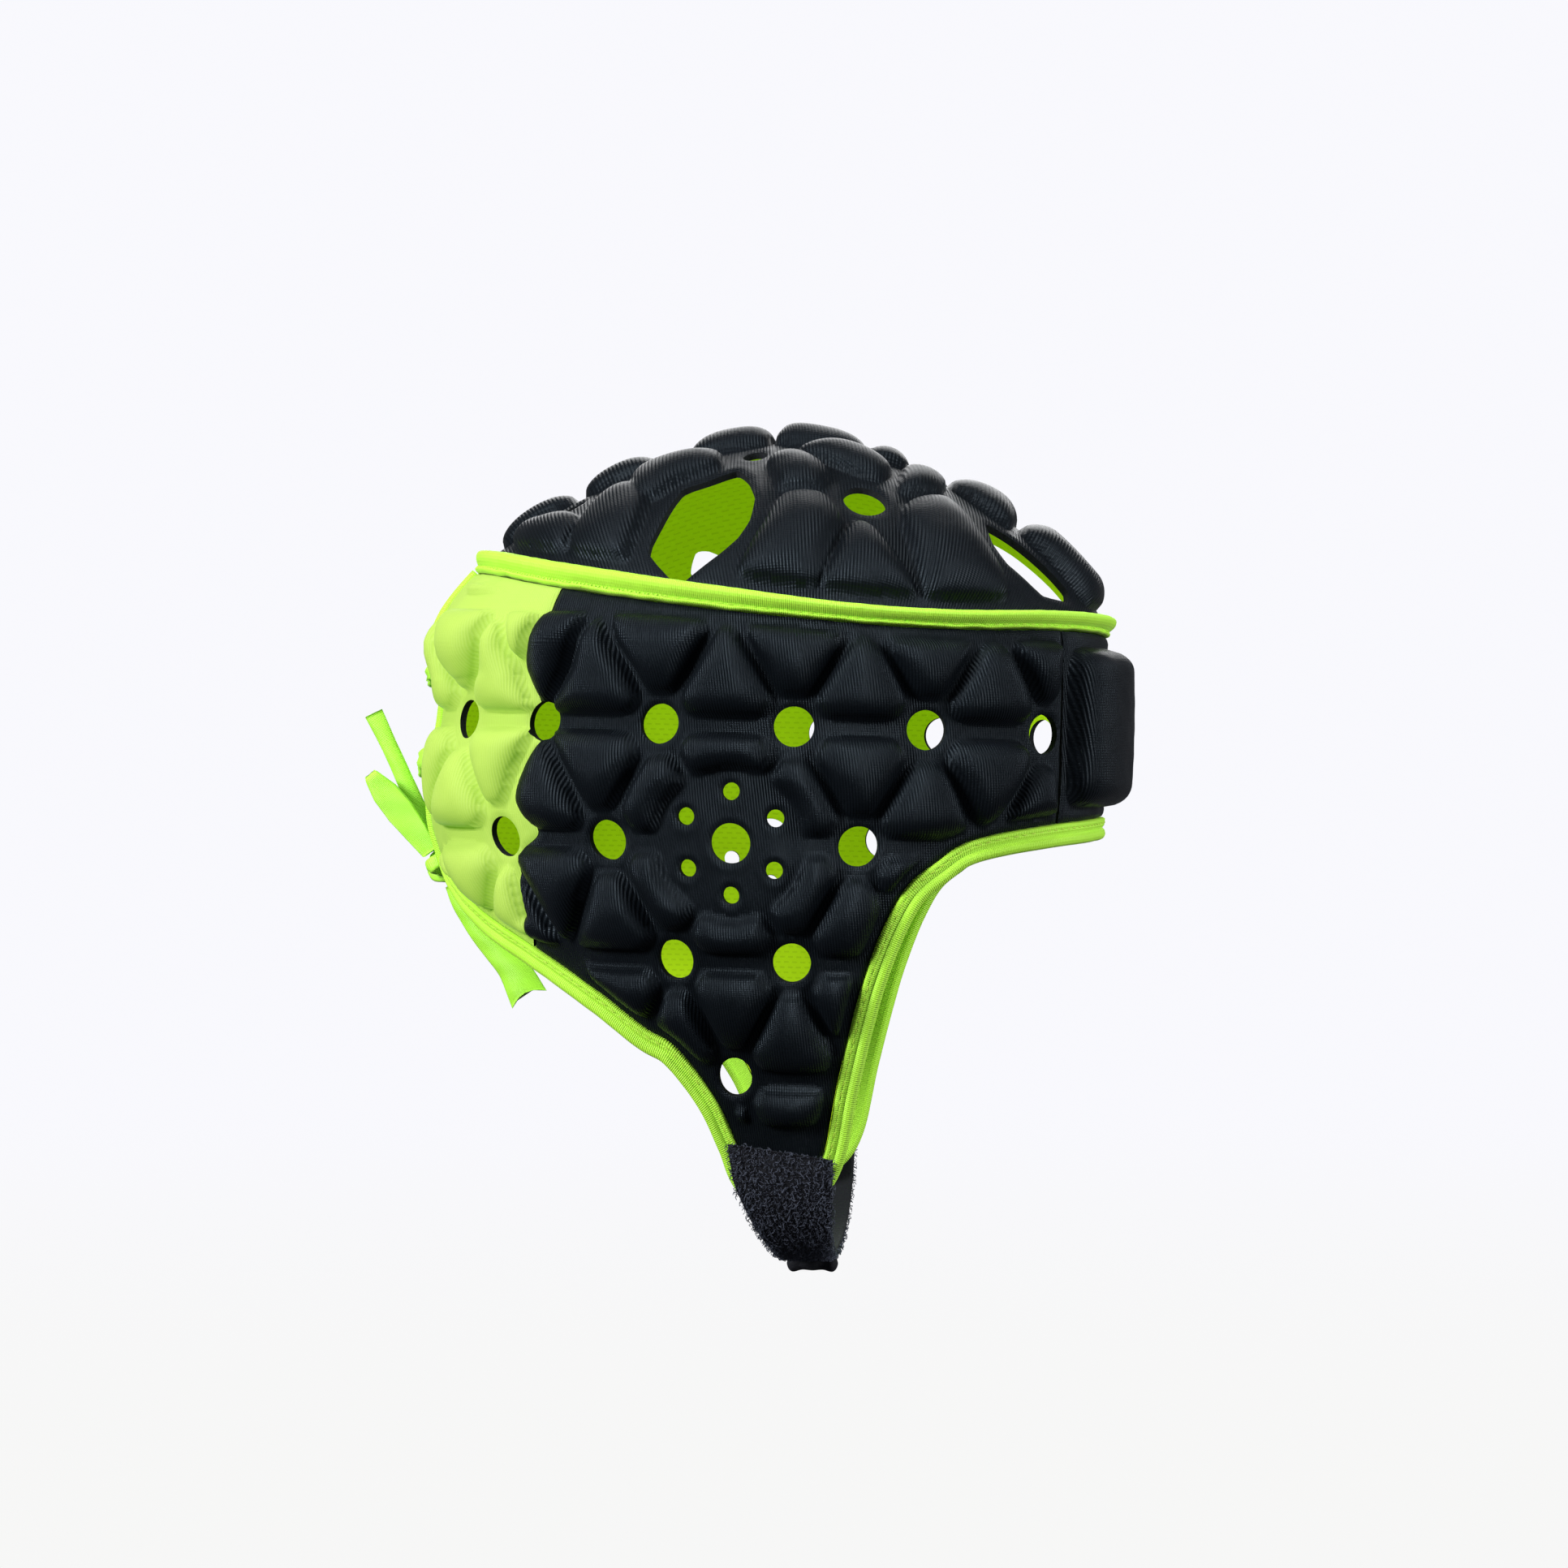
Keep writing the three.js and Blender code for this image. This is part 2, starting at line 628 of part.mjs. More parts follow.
function seamRun(from, to) {
  const steps = Math.max(2, Math.round(Math.abs(to - from) / OUTLINE_STEP));
  const points = [];
  for (let i = 0; i <= steps; i += 1) {
    const around = from + ((to - from) * i) / steps;
    points.push(toPattern(around, seamHeight(around) - GAP));
  }
  return points;
}

// Evenly spaced shares of a curve's length, and the points there
function shares(curve, from, to, step) {
  const count = Math.max(2, Math.round((curve.getLength() * Math.abs(to - from)) / step));
  return Array.from({ length: count + 1 }, (_, i) => from + ((to - from) * i) / count);
}

function stretch(curve, from, to, step) {
  return shares(curve, from, to, step).map((at) => curve.getPointAt(at));
}

// The share of the side's edge that lies nearest a flat point
function shareNear(point) {
  const steps = sideEdge.arcLengthDivisions;
  const reach = (at) => sideEdge.getPointAt(at).distanceTo(point);
  let best = 0;
  for (let i = 0; i <= steps; i += 1) {
    if (reach(i / steps) < reach(best)) best = i / steps;
  }
  return best;
}

const joinBottom = shareNear(unit(JOIN_FOOT));
const browEnd = shareNear(unit({ along: BROW_JOIN.along, up: BROW_JOIN.foot }));
const joinTop = toHead(panelJoin.points[0].x, panelJoin.points[0].y);
const browTop = toHead(BROW_JOIN.along * PITCH, BROW_JOIN.top * ROW);

function latticeHoles() {
  const holes = [];
  const rows = [
    { up: 1, spots: [-2.5, -1.5, -0.5, 0.5, 1.5, 2.5] },
    { up: 0, spots: [-2, -1, 0, 1] },
    { up: -1, spots: [-0.5, 0.5] },
    { up: -2, spots: [0] },
  ];
  rows.forEach(({ up, spots }) => spots.forEach((along) => holes.push(unit({ along, up }))));
  return holes;
}

// The triangles between neighbouring holes, each one a pad
function latticePads() {
  const pads = [];
  for (let up = -4; up < 3; up += 1) {
    for (let i = -4; i < 6; i += 1) {
      const shift = up % 2 === 0 ? 0 : 0.5;
      const next = 0.5 - shift;
      const low = [unit({ along: i + shift, up }), unit({ along: i + shift + 1, up })];
      pads.push([...low, unit({ along: i + shift + 0.5, up: up + 1 })]);
      const high = [unit({ along: i + next, up: up + 1 }), unit({ along: i + next + 1, up: up + 1 })];
      pads.push([unit({ along: i + next + 0.5, up }), high[1], high[0]]);
    }
  }
  return pads.map((loop) => ({ loop, slope: PAD_SLOPE, rise: PAD_RISE, holeMargin: 0.8 }));
}

function sidePanel(outline, spread) {
  let loop = outline;
  const rounds = [];
  latticeHoles().forEach((middle) => {
    const hole = circle(middle, HOLE, HOLE_SIDES);
    if (hole.every((p) => inside(p, loop))) rounds.push(hole);
    else if (hole.some((p) => inside(p, loop))) loop = bite(loop, hole);
  });
  const small = [];
  const plate = circle(new THREE.Vector2(), EAR_PLATE, 24);
  const hasEar = inside(new THREE.Vector2(), outline);
  if (hasEar) {
    for (let k = 0; k < 6; k += 1) {
      const turn = Math.PI / 2 + (k * Math.PI) / 3;
      const middle = new THREE.Vector2(Math.cos(turn), Math.sin(turn)).multiplyScalar(EAR_HOLE_CIRCLE / 2);
      small.push(circle(middle, EAR_HOLE, 6));
    }
  }
  const edges = [loop, ...rounds, ...small];
  const region = (p) => inside(p, loop) && !edges.slice(1).some((hole) => inside(p, hole));
  const bare = { low: -2 * STRAP_TOP, high: -STRAP_TOP + STRAP_PATCH };
  const patch = [[-2, bare.low], [2, bare.low], [2, bare.high], [-2, bare.high]]
    .map(([along, up]) => unit({ along, up }));
  const limits = hasEar ? [...edges, plate, patch] : edges;
  const flat = (r) => region(r.point) && !(hasEar && r.rise === 0 && inside(r.point, plate));
  const pads = latticePads();
  const rim = hasEar ? plate.map((point) => ({ point, rise: 0 })) : [];
  const relief = [...rim, ...grooves(pads), ...pads.flatMap((pad) => padRelief(pad, limits))];
  return shell(edges, thin(relief.filter(flat), edges), scatter(edges, region, spread), region, (p, out) => {
    const spot = toHead(p.x, p.y);
    return onHead(spot.around, spot.z, out);
  });
}

function blackOutline() {
  const clear = new THREE.Vector2(GAP / 2, 0);
  const join = stretch(panelJoin, 1, 0, OUTLINE_STEP * 0.7).map((p) => p.clone().add(clear));
  const seam = seamRun(joinTop.around - GAP, browTop.around + GAP);
  const hem = stretch(sideEdge, browEnd, joinBottom, OUTLINE_STEP);
  return [...join, ...seam, ...hem];
}

function limeOutline() {
  const clear = new THREE.Vector2(-GAP / 2, 0);
  const join = stretch(panelJoin, 0, 1, OUTLINE_STEP * 0.7).map((p) => p.clone().add(clear));
  const hem = stretch(sideEdge, joinBottom, 1, OUTLINE_STEP);
  const seam = seamRun(NAPE_AROUND, joinTop.around + GAP);
  return [...join, ...hem.slice(1), ...seam.slice(1)];
}

// The brow: one panel across the front, flat as distance from the centre
// and height, with one large pad
function onBrow(p, out) {
  const point = onHead(Math.abs(p.x), p.y, out);
  if (p.x > 0) point.y = -point.y;
  return point;
}

function browPanel() {
  const half = browTop.around - GAP;
  const lower = stretch(sideEdge, browEnd, 0, OUTLINE_STEP).map((p) => {
    const spot = toHead(p.x, p.y);
    return new THREE.Vector2(-Math.min(Math.max(spot.around, 0), half), spot.z);
  });
  lower[0].x = -half;
  lower[lower.length - 1].x = 0;
  const upper = [];
  for (let i = 0; i <= 8; i += 1) {
    const around = (half * i) / 8;
    upper.push(new THREE.Vector2(-around, seamHeight(around) - GAP));
  }
  const flip = (p) => new THREE.Vector2(-p.x, p.y);
  const end = evenly([upper[8], lower[0]], OUTLINE_STEP, false).slice(1, -1);
  const right = [...upper.slice(1), ...end, ...lower];
  const left = right.slice(0, -1).map(flip).reverse();
  const loop = [upper[0], ...right, ...left];
  const top = seamHeight(0) - BROW_MARGIN.top;
  const foot = lower[lower.length - 1].y + BROW_MARGIN.bottom;
  const wide = half - BROW_MARGIN.side;
  const cut = BROW_MARGIN.corner;
  const corners = [[-wide, foot + cut], [-wide + cut, foot], [wide - cut, foot], [wide, foot + cut],
    [wide, top - cut], [wide - cut, top], [-wide + cut, top], [-wide, top - cut]];
  const pad = {
    loop: corners.map(([x, y]) => new THREE.Vector2(x, y)), slope: PAD_SLOPE, rise: BROW_RISE, holeMargin: 0,
  };
  const region = (p) => inside(p, loop);
  const relief = evenly(pad.loop, GROOVE_STEP * 1.6, true).map((point) => ({ point, rise: 0 }));
  for (let x = -wide + GROOVE_STEP; x < wide - SHOULDER; x += PAD_STEP) {
    for (let y = foot + GROOVE_STEP; y < top - SHOULDER; y += PAD_STEP * 0.85) {
      const point = new THREE.Vector2(x, y);
      relief.push({ point, rise: padRise(distanceToLoop(point, pad.loop), pad) });
    }
  }
  return shell([loop], thin(relief, [loop]), scatter([loop], region, LINING_STEPS.brow), region, onBrow);
}

// The crown: pads and openings on the flattened dome
const share = (at, hand) => new THREE.Vector2(
  at[0] * (at[0] > 0 ? HEAD_FRONT : HEAD_REAR),
  at[1] * HEAD_SIDE * hand,
);

function crownPads() {
  const pads = [];
  CROWN_PADS.forEach(({ middle, corners }) => {
    const right = corners.map((at) => share(at, -1));
    const left = corners.map((at) => share(at, 1));
    if (middle) pads.push([...right, ...left.reverse()]);
    else pads.push(right, left);
  });
  return pads.map((loop) => ({ loop, slope: PAD_SLOPE * 0.8, rise: PAD_RISE, holeMargin: 1.2 }));
}

function crownOpenings() {
  return CROWN_OPENINGS.flatMap(({ corners, middle, wide }) => [-1, 1].map((hand) => {
    if (corners) return corners.map((at) => share(at, hand));
    return circle(share(middle, hand), wide * CROWN_HOLE * DOME_SPREAD, 8);
  }));
}

function crown() {
  const steps = 2 * Math.round(HALF_GIRTH / OUTLINE_STEP / 1.2);
  const loop = [];
  for (let i = 0; i < steps; i += 1) {
    const turn = (2 * HALF_GIRTH * i) / steps;
    const around = turn > HALF_GIRTH ? 2 * HALF_GIRTH - turn : turn;
    const q = ovalAt(around).multiplyScalar(flatShare(aboveSeam(around, BINDING + GAP)));
    if (turn > HALF_GIRTH) q.y = -q.y;
    loop.push(q);
  }
  const edges = [loop, ...crownOpenings().map((opening) => evenly(opening, OUTLINE_STEP, true))];
  const region = (p) => inside(p, loop) && !edges.slice(1).some((hole) => inside(p, hole));
  const pads = crownPads();
  const relief = [...grooves(pads), ...pads.flatMap((pad) => padRelief(pad, edges))];
  const clean = thin(relief.filter((r) => region(r.point)), edges);
  return shell(edges, clean, scatter(edges, region, LINING_STEPS.crown), region, onDome);
}

// A body swept through rings of points, closed on itself or capped
function sweep(rings, closed) {
  const sides = rings[0].length;
  const positions = rings.flat().flatMap((p) => p.toArray());
  const index = [];
  const last = closed ? rings.length : rings.length - 1;
  for (let i = 0; i < last; i += 1) {
    for (let k = 0; k < sides; k += 1) {
      const a = i * sides + k;
      const b = i * sides + ((k + 1) % sides);
      const c = ((i + 1) % rings.length) * sides + k;
      const d = ((i + 1) % rings.length) * sides + ((k + 1) % sides);
      index.push(a, b, c, b, d, c);
    }
  }
  if (!closed) {
    for (let k = 1; k < sides - 1; k += 1) {
      const end = (rings.length - 1) * sides;
      index.push(0, k + 1, k, end, end + k, end + k + 1);
    }
  }
  return solid(positions, index);
}

// The tube and flange that bind the crown to the band: up from the seam, and out
function topBinding() {
  const rings = [];
  const outer = BINDING_SECTION.map(({ up, rise }) => [up * BINDING, WALL + rise * BINDING_RISE]);
  const section = [[0, 0], ...outer, [BINDING, 0]];
  const steps = 2 * Math.round(HALF_GIRTH / BINDING_STEP);
  for (let i = 0; i < steps; i += 1) {
    const turn = (2 * HALF_GIRTH * i) / steps;
    const around = turn > HALF_GIRTH ? 2 * HALF_GIRTH - turn : turn;
    rings.push(section.map(([up, out]) => {
      const point = onHead(around, aboveSeam(around, up), out);
      if (turn > HALF_GIRTH) point.y = -point.y;
      return point;
    }));
  }
  return sweep(rings, true);
}

// The hem round the brow, both flaps and the nape, up to the crown's binding:
// out from the panels' edge, and out from the head
function hemSection(wide) {
  const outer = HEM_SECTION.map(({ beyond, rise }) => [wide * beyond, WALL + rise * HEM_RISE]);
  return [[GAP, 0], [GAP, WALL + HEM_SECTION[0].rise * HEM_RISE], ...outer];
}

function edgeBinding() {
  const corner = shareNear(napeEdge[0]);
  const right = [];
  const marks = [0, browEnd, joinBottom, 1];
  const spots = marks.slice(1).flatMap((to, i) => (
    shares(sideEdge, marks[i], to, OUTLINE_STEP).slice(i > 0 ? 1 : 0)
  ));
  spots.forEach((at) => {
    const point = sideEdge.getPointAt(at);
    const along = sideEdge.getTangentAt(at);
    const wide = THREE.MathUtils.lerp(HEM, REAR_HEM, THREE.MathUtils.smoothstep(at, corner - 0.08, corner));
    right.push(hemSection(wide).map(([beyond, out]) => {
      const spot = toHead(point.x - along.y * beyond, point.y + along.x * beyond);
      if (at > 0) return onHead(spot.around, spot.z, out);
      const front = onHead(0, spot.z, out);
      front.y = 0;
      return front;
    }));
  });
  const left = right.slice(1).map((ring) => ring.map((p) => new THREE.Vector3(p.x, -p.y, p.z)));
  return sweep([...right.reverse(), ...left], false);
}

// Flat ribbon along a route, its width upright in the cap's middle plane
function ribbon(route) {
  const curve = new THREE.CatmullRomCurve3(route.points.map((p) => new THREE.Vector3(...p)));
  const rings = [];
  for (let i = 0; i <= LACE_STEPS; i += 1) {
    const at = i / LACE_STEPS;
    const along = curve.getTangentAt(at);
    const across = new THREE.Vector3(0, 1, 0).cross(along).normalize();
    const out = along.clone().cross(across);
    const spot = at * (route.wide.length - 1);
    const low = Math.min(Math.floor(spot), route.wide.length - 2);
    const wide = LACE_WIDE * THREE.MathUtils.lerp(route.wide[low], route.wide[low + 1], spot - low);
    across.multiplyScalar(wide / 2);
    out.multiplyScalar(LACE_THICK / 2);
    rings.push(circle(new THREE.Vector2(), 2, 8).map((p) => (
      curve.getPointAt(at).addScaledVector(across, p.x).addScaledVector(out, p.y)
    )));
  }
  return sweep(rings, false);
}

// The lace where it crosses the gap at the nape, over both hems
function laceCrossing(rows) {
  const z = -CROWN_DEPTH - rows * ROW;
  const half = LACE_GAP / 2 + REAR_HEM;
  const rings = [];
  const low = FLAP_RISE + GAP;
  [-LACE_REACH, -0.7, 0, 0.7, LACE_REACH].forEach((part) => {
    const around = HALF_GIRTH - Math.abs(part) * half;
    const corners = [[-0.5, low], [0.5, low], [0.5, low + LACE_THICK], [-0.5, low + LACE_THICK]];
    rings.push(corners.map(([up, out]) => {
      const point = onHead(around, z + up * LACE_WIDE, out);
      if (part > 0) point.y = -point.y;
      if (part === 0) point.y = 0;
      return point;
    }));
  });
  return sweep(rings, false);
}

function laceKnot() {
  const knot = new THREE.SphereGeometry(0.5, 10, 7);
  knot.deleteAttribute("normal");
  knot.deleteAttribute("uv");
  knot.scale(LACE_KNOT.long, LACE_GAP + 2 * LACE_KNOT.over, LACE_KNOT.tall);
  const spot = onHead(HALF_GIRTH, -CROWN_DEPTH - LACE_KNOT.rows * ROW, WALL);
  knot.translate(spot.x, 0, spot.z);
  return mergeVertices(knot, 1e-4);
}

// The chin strap: down from the flap's outer face and round under the chin
const strapTop = EAR_Z - STRAP_TOP * ROW;
const strapFoot = strapTop - STRAP_DROP;

function strapHalf() {
  const middle = EAR_GIRTH - STRAP_MIDDLE * PITCH;
  const half = -onHead(middle, strapTop, FLAP_RISE + GAP).y + STRAP_CLEAR;
  const spots = [];
  for (let i = -1; i <= STRAP_STEPS; i += 1) {
    const turn = (Math.max(i, 0) * Math.PI) / 2 / STRAP_STEPS;
    const y = half * Math.cos(turn) ** (2 / STRAP_POWER);
    const drop = Math.sin(turn) ** (2 / STRAP_POWER) - (i < 0 ? STRAP_LAP : 0);
    spots.push({ y: i === STRAP_STEPS ? GAP / 2 : y, drop });
  }
  const rings = spots.map((spot, i) => {
    const before = spots[Math.max(i - 1, 0)];
    const after = spots[Math.min(i + 1, spots.length - 1)];
    const run = new THREE.Vector2(after.y - before.y, -(after.drop - before.drop) * STRAP_DROP).normalize();
    if (i === spots.length - 1) run.set(-1, 0);
    const rear = STRAP_WIDE * readTable(STRAP_EDGES, "drop", "rear", spot.drop);
    const front = STRAP_WIDE * readTable(STRAP_EDGES, "drop", "front", spot.drop);
    const z = strapTop - spot.drop * STRAP_DROP;
    const corners = [[rear, 0], [rear, STRAP_THICK], [front, STRAP_THICK], [front, 0]];
    return corners.map(([x, out]) => new THREE.Vector3(x, -(spot.y - run.y * out), z + run.x * out));
  });
  return sweep(rings, false);
}

// The rolled seam that joins both halves under the chin
function strapSeam() {
  const foot = STRAP_EDGES[STRAP_EDGES.length - 1];
  const wide = STRAP_WIDE * (foot.front - foot.rear);
  const outline = new THREE.Shape();
  outline.absellipse(0, 0, STRAP_SEAM * 0.6, STRAP_SEAM / 2, 0, 2 * Math.PI);
  const roll = new THREE.ExtrudeGeometry(outline, { depth: wide, bevelEnabled: false, curveSegments: 5 });
  roll.deleteAttribute("normal");
  roll.deleteAttribute("uv");
  roll.rotateY(Math.PI / 2);
  roll.rotateX(Math.PI / 2);
  roll.translate(STRAP_WIDE * foot.rear, 0, strapFoot - STRAP_THICK - GAP - STRAP_SEAM / 2);
  return mergeVertices(roll, 1e-4);
}

const group = new THREE.Group();
function addMesh(name, geometry, material) {
  const mesh = new THREE.Mesh(geometry, material);
  mesh.name = name;
  group.add(mesh);
}

addMesh("crown", crown(), black);
addMesh("brow_pad", browPanel(), black);
const side = sidePanel(blackOutline(), LINING_STEPS.side);
addMesh("side_panel_right", side, black);
addMesh("side_panel_left", mirrored(side), black);
const rear = sidePanel(limeOutline(), LINING_STEPS.rear);
addMesh("rear_panel_right", rear, lime);
addMesh("rear_panel_left", mirrored(rear), lime);
addMesh("top_binding", topBinding(), tape);
addMesh("edge_binding", edgeBinding(), tape);
addMesh("lace_crossing_upper", laceCrossing(LACE_CROSSINGS.upper), lime);
addMesh("lace_crossing_lower", laceCrossing(LACE_CROSSINGS.lower), lime);
addMesh("lace_knot", laceKnot(), lime);
Object.entries(LACE_ROUTES).forEach(([name, route]) => addMesh(name, ribbon(route), lime));
const strap = strapHalf();
addMesh("chin_strap_right", strap, pile);
addMesh("chin_strap_left", mirrored(strap), pile);
addMesh("strap_seam", strapSeam(), pile);

export default group;
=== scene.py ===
# %% [markdown]
# A rugby scrum cap: foam pads sewn between a stretch knit and a mesh lining, an
# open crown, ear flaps with vents, bound edges, a laced nape and a strap under
# the chin. The CAD solids give every piece its place and size. This lesson
# dresses them: each soft solid is replaced by a fine surface of the same form.

# %% Load the frame
import math

import bpy
import numpy as np
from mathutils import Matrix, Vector, kdtree
from mathutils.geometry import delaunay_2d_cdt


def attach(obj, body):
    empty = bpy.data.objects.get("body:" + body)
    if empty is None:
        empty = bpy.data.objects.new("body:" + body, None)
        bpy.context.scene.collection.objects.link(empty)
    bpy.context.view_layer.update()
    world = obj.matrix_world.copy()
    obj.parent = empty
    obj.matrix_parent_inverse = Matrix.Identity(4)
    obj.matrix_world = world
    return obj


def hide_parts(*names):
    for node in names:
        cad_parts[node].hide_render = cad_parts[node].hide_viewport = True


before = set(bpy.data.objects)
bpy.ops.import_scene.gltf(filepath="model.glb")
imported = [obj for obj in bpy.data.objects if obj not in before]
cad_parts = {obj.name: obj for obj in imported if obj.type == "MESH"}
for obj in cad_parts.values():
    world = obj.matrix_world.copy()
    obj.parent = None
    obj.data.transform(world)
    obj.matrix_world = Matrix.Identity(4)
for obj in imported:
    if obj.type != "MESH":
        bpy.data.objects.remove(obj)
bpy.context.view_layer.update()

MM = 0.001
BODY = "root"


def new_object(name, data):
    """An object of this data, linked into the scene."""
    thing = bpy.data.objects.new(name, data)
    bpy.context.scene.collection.objects.link(thing)
    return thing


# %% [markdown]
# The camera comes first, because the cords are judged by what it sees. It
# stands a little over a metre from the wearer's right side, level with the ear,
# turned four degrees, with a long lens as product photographs have.

# %% Camera
CAMERA_PLACE = Vector((0.0942, -1.3467, -0.105))
CAMERA_TURN = math.radians(4)
LENS = 98.1
SENSOR = 36

camera_data = bpy.data.cameras.new("studio_camera")
camera_data.lens = LENS
camera_data.sensor_width = SENSOR
camera_data.clip_end = 200
camera = new_object("studio_camera", camera_data)
camera.location = CAMERA_PLACE
camera.rotation_euler = (math.pi / 2, 0, CAMERA_TURN)
bpy.context.scene.camera = camera
print("camera", tuple(camera.location))

# %% [markdown]
# Shaders and Geometry Nodes are both graphs of sockets, so one small class
# serves both. It wraps a socket, and sums written on it add Math nodes: a
# formula then reads as a formula. Every other node comes from its add method.


# %% Wires: sums on sockets
class Wire:
    """A socket of a node tree that can be calculated with."""

    def __init__(self, tree, socket=None):
        self.tree = tree
        self.socket = socket

    def add(self, kind, settings=None, inputs=None, out=0):
        node = self.tree.nodes.new(kind)
        for key, value in (settings or {}).items():
            if key == "stops":
                self.set_stops(node.color_ramp, value)
            else:
                setattr(node, key, value)
        for key, value in (inputs or {}).items():
            socket = self.pick(node.inputs, key)
            if isinstance(value, Wire):
                self.tree.links.new(value.socket, socket)
            else:
                socket.default_value = value
        return Wire(self.tree, self.pick(node.outputs, out))

    @staticmethod
    def pick(sockets, key):
        if isinstance(key, int):
            return sockets[key]
        return next(s for s in sockets if s.name == key and s.enabled)

    @staticmethod
    def set_stops(ramp, stops):
        while len(ramp.elements) < len(stops):
            ramp.elements.new(1)
        for element, (place, colour) in zip(ramp.elements, stops):
            element.position = place
            element.color = colour

    def math(self, operation, *others):
        values = dict(enumerate([self, *others]))
        return self.add("ShaderNodeMath", {"operation": operation}, values)

    def flipped(self, operation, other):
        return self.add("ShaderNodeMath", {"operation": operation}, {0: other, 1: self})

    def __add__(self, other):
        return self.math("ADD", other)

    __radd__ = __add__

    def __sub__(self, other):
        return self.math("SUBTRACT", other)

    def __rsub__(self, other):
        return self.flipped("SUBTRACT", other)

    def __mul__(self, other):
        return self.math("MULTIPLY", other)

    __rmul__ = __mul__

    def __truediv__(self, other):
        return self.math("DIVIDE", other)


# %% [markdown]
# Every cloth here is knitted or woven, and its pattern follows the cloth, not
# the room. Each piece therefore carries an attribute called weave: millimetres
# along and across its own cloth. The finishes read it for ribs and slits, and
# read Object coordinates only for faint, large variations.


# %% Parts that all finishes share
def new_finish(name):
    finish = bpy.data.materials.new(name)
    finish.use_nodes = True
    tree = finish.node_tree
    shader = tree.nodes["Principled BSDF"]
    return finish, tree, shader


def weave_axes(start):
    weave = start.add("ShaderNodeAttribute", {"attribute_name": "weave"}, out="Vector")
    split = start.add("ShaderNodeSeparateXYZ", None, {"Vector": weave})
    sockets = split.socket.node.outputs
    return Wire(start.tree, sockets[0]), Wire(start.tree, sockets[1])


def grain(start, scale, detail=3.0):
    place = start.add("ShaderNodeTexCoord", out="Object")
    values = {"Vector": place, "Scale": scale, "Detail": detail}
    return start.add("ShaderNodeTexNoise", None, values, out=0)


def wave(value, period):
    return (value * (2 * math.pi / period)).math("SINE") * 0.5 + 0.5


def blend(start, factor, first, second):
    values = {"Factor": factor, "A": first, "B": second}
    return start.add("ShaderNodeMix", {"data_type": "RGBA"}, values, out="Result")


def rough_up(start, shader, height, depth, strength=1.0):
    values = {"Height": height, "Distance": depth, "Strength": strength}
    bump = start.add("ShaderNodeBump", None, values, out="Normal")
    start.tree.links.new(bump.socket, shader.inputs["Normal"])


def feed(shader, name, wire):
    wire.tree.links.new(wire.socket, shader.inputs[name])


def colour(red, green, blue):
    return (red, green, blue, 1.0)


# %% [markdown]
# The black knit is a ribbed stretch cloth with a soft sheen: near black where
# it faces the eye, blue-grey where it turns away. A darker base with sheen
# gives that turn. The ribs are 0.8 mm apart, too fine for mesh, so they are
# bump, fading in and out as the cloth stretches over a pad.

# %% Black knit
RIB = 0.8
RIB_LEAN = math.radians(8)
SHEEN_ROUGH = 0.38


def knit(name, dark, light, sheen, sheen_tint, rough, specular, glow, depth):
    finish, tree, shader = new_finish(name)
    start = Wire(tree)
    along, up = weave_axes(start)
    across_ribs = along * math.cos(RIB_LEAN) + up * math.sin(RIB_LEAN)
    ribs = wave(across_ribs, RIB)
    loops = wave(up, RIB * 0.6)
    patches = grain(start, 45.0)
    fuzz = grain(start, 1400.0, 2.0)
    height = ribs * (patches * 0.6 + 0.55) + loops * 0.25 + fuzz * 0.5
    tone = ribs * 0.45 + patches * 0.35 + fuzz * 0.2
    feed(shader, "Base Color", blend(start, tone, dark, light))
    feed(shader, "Roughness", patches * 0.12 + rough)
    rough_up(start, shader, height, depth)
    shader.inputs["Sheen Weight"].default_value = sheen
    shader.inputs["Sheen Roughness"].default_value = SHEEN_ROUGH
    shader.inputs["Sheen Tint"].default_value = sheen_tint
    shader.inputs["Specular IOR Level"].default_value = specular
    shader.inputs["Specular Tint"].default_value = sheen_tint
    # Emission is painted light: a glow of the cloth's own that lifts its shaded sides.
    shader.inputs["Emission Color"].default_value = glow
    shader.inputs["Emission Strength"].default_value = 1
    return finish


black_knit = knit("black_knit", colour(0.0009, 0.0014, 0.002), colour(0.0048, 0.0066, 0.009),
                  0.012, colour(0.66, 0.84, 1.0), 0.3, 0.14, colour(0, 0, 0), 0.00017)
print("finish", black_knit.name)

# %% [markdown]
# The lime knit is the same cloth in fluorescent yellow-green. It returns so
# much light that its ribs hardly show. Its shaded sides stay saturated through
# a painted glow: it gives off green light of its own over a duller base colour.

# %% Lime knit
# The colour before the bump depth is a painted glow: green light the lime cloth gives off by itself.
lime_knit = knit("lime_knit", colour(0.29, 0.38, 0.055), colour(0.37, 0.46, 0.11),
                 0.12, colour(0.9, 1.0, 0.7), 0.62, 0.25, colour(0.055, 0.2, 0.0), 0.00006)
print("finish", lime_knit.name)

# %% [markdown]
# Inside, the cap is lined with a lime mesh whose small slits lie in staggered
# rows. Cutting thousands of slits would be wasted where only glimpses show
# through the vents, so they are a mask that darkens and sinks the cloth. The
# lining also gives off a little light in its own colour, a painted glow that
# lifts the shade inside the cap.

# %% Lining and foam
SLIT_ALONG = 3.1
SLIT_ROWS = 1.7
SLIT_HALF_LONG = 0.3
SLIT_HALF_TALL = 0.16
PAINTED_LINING_GLOW = 0.2


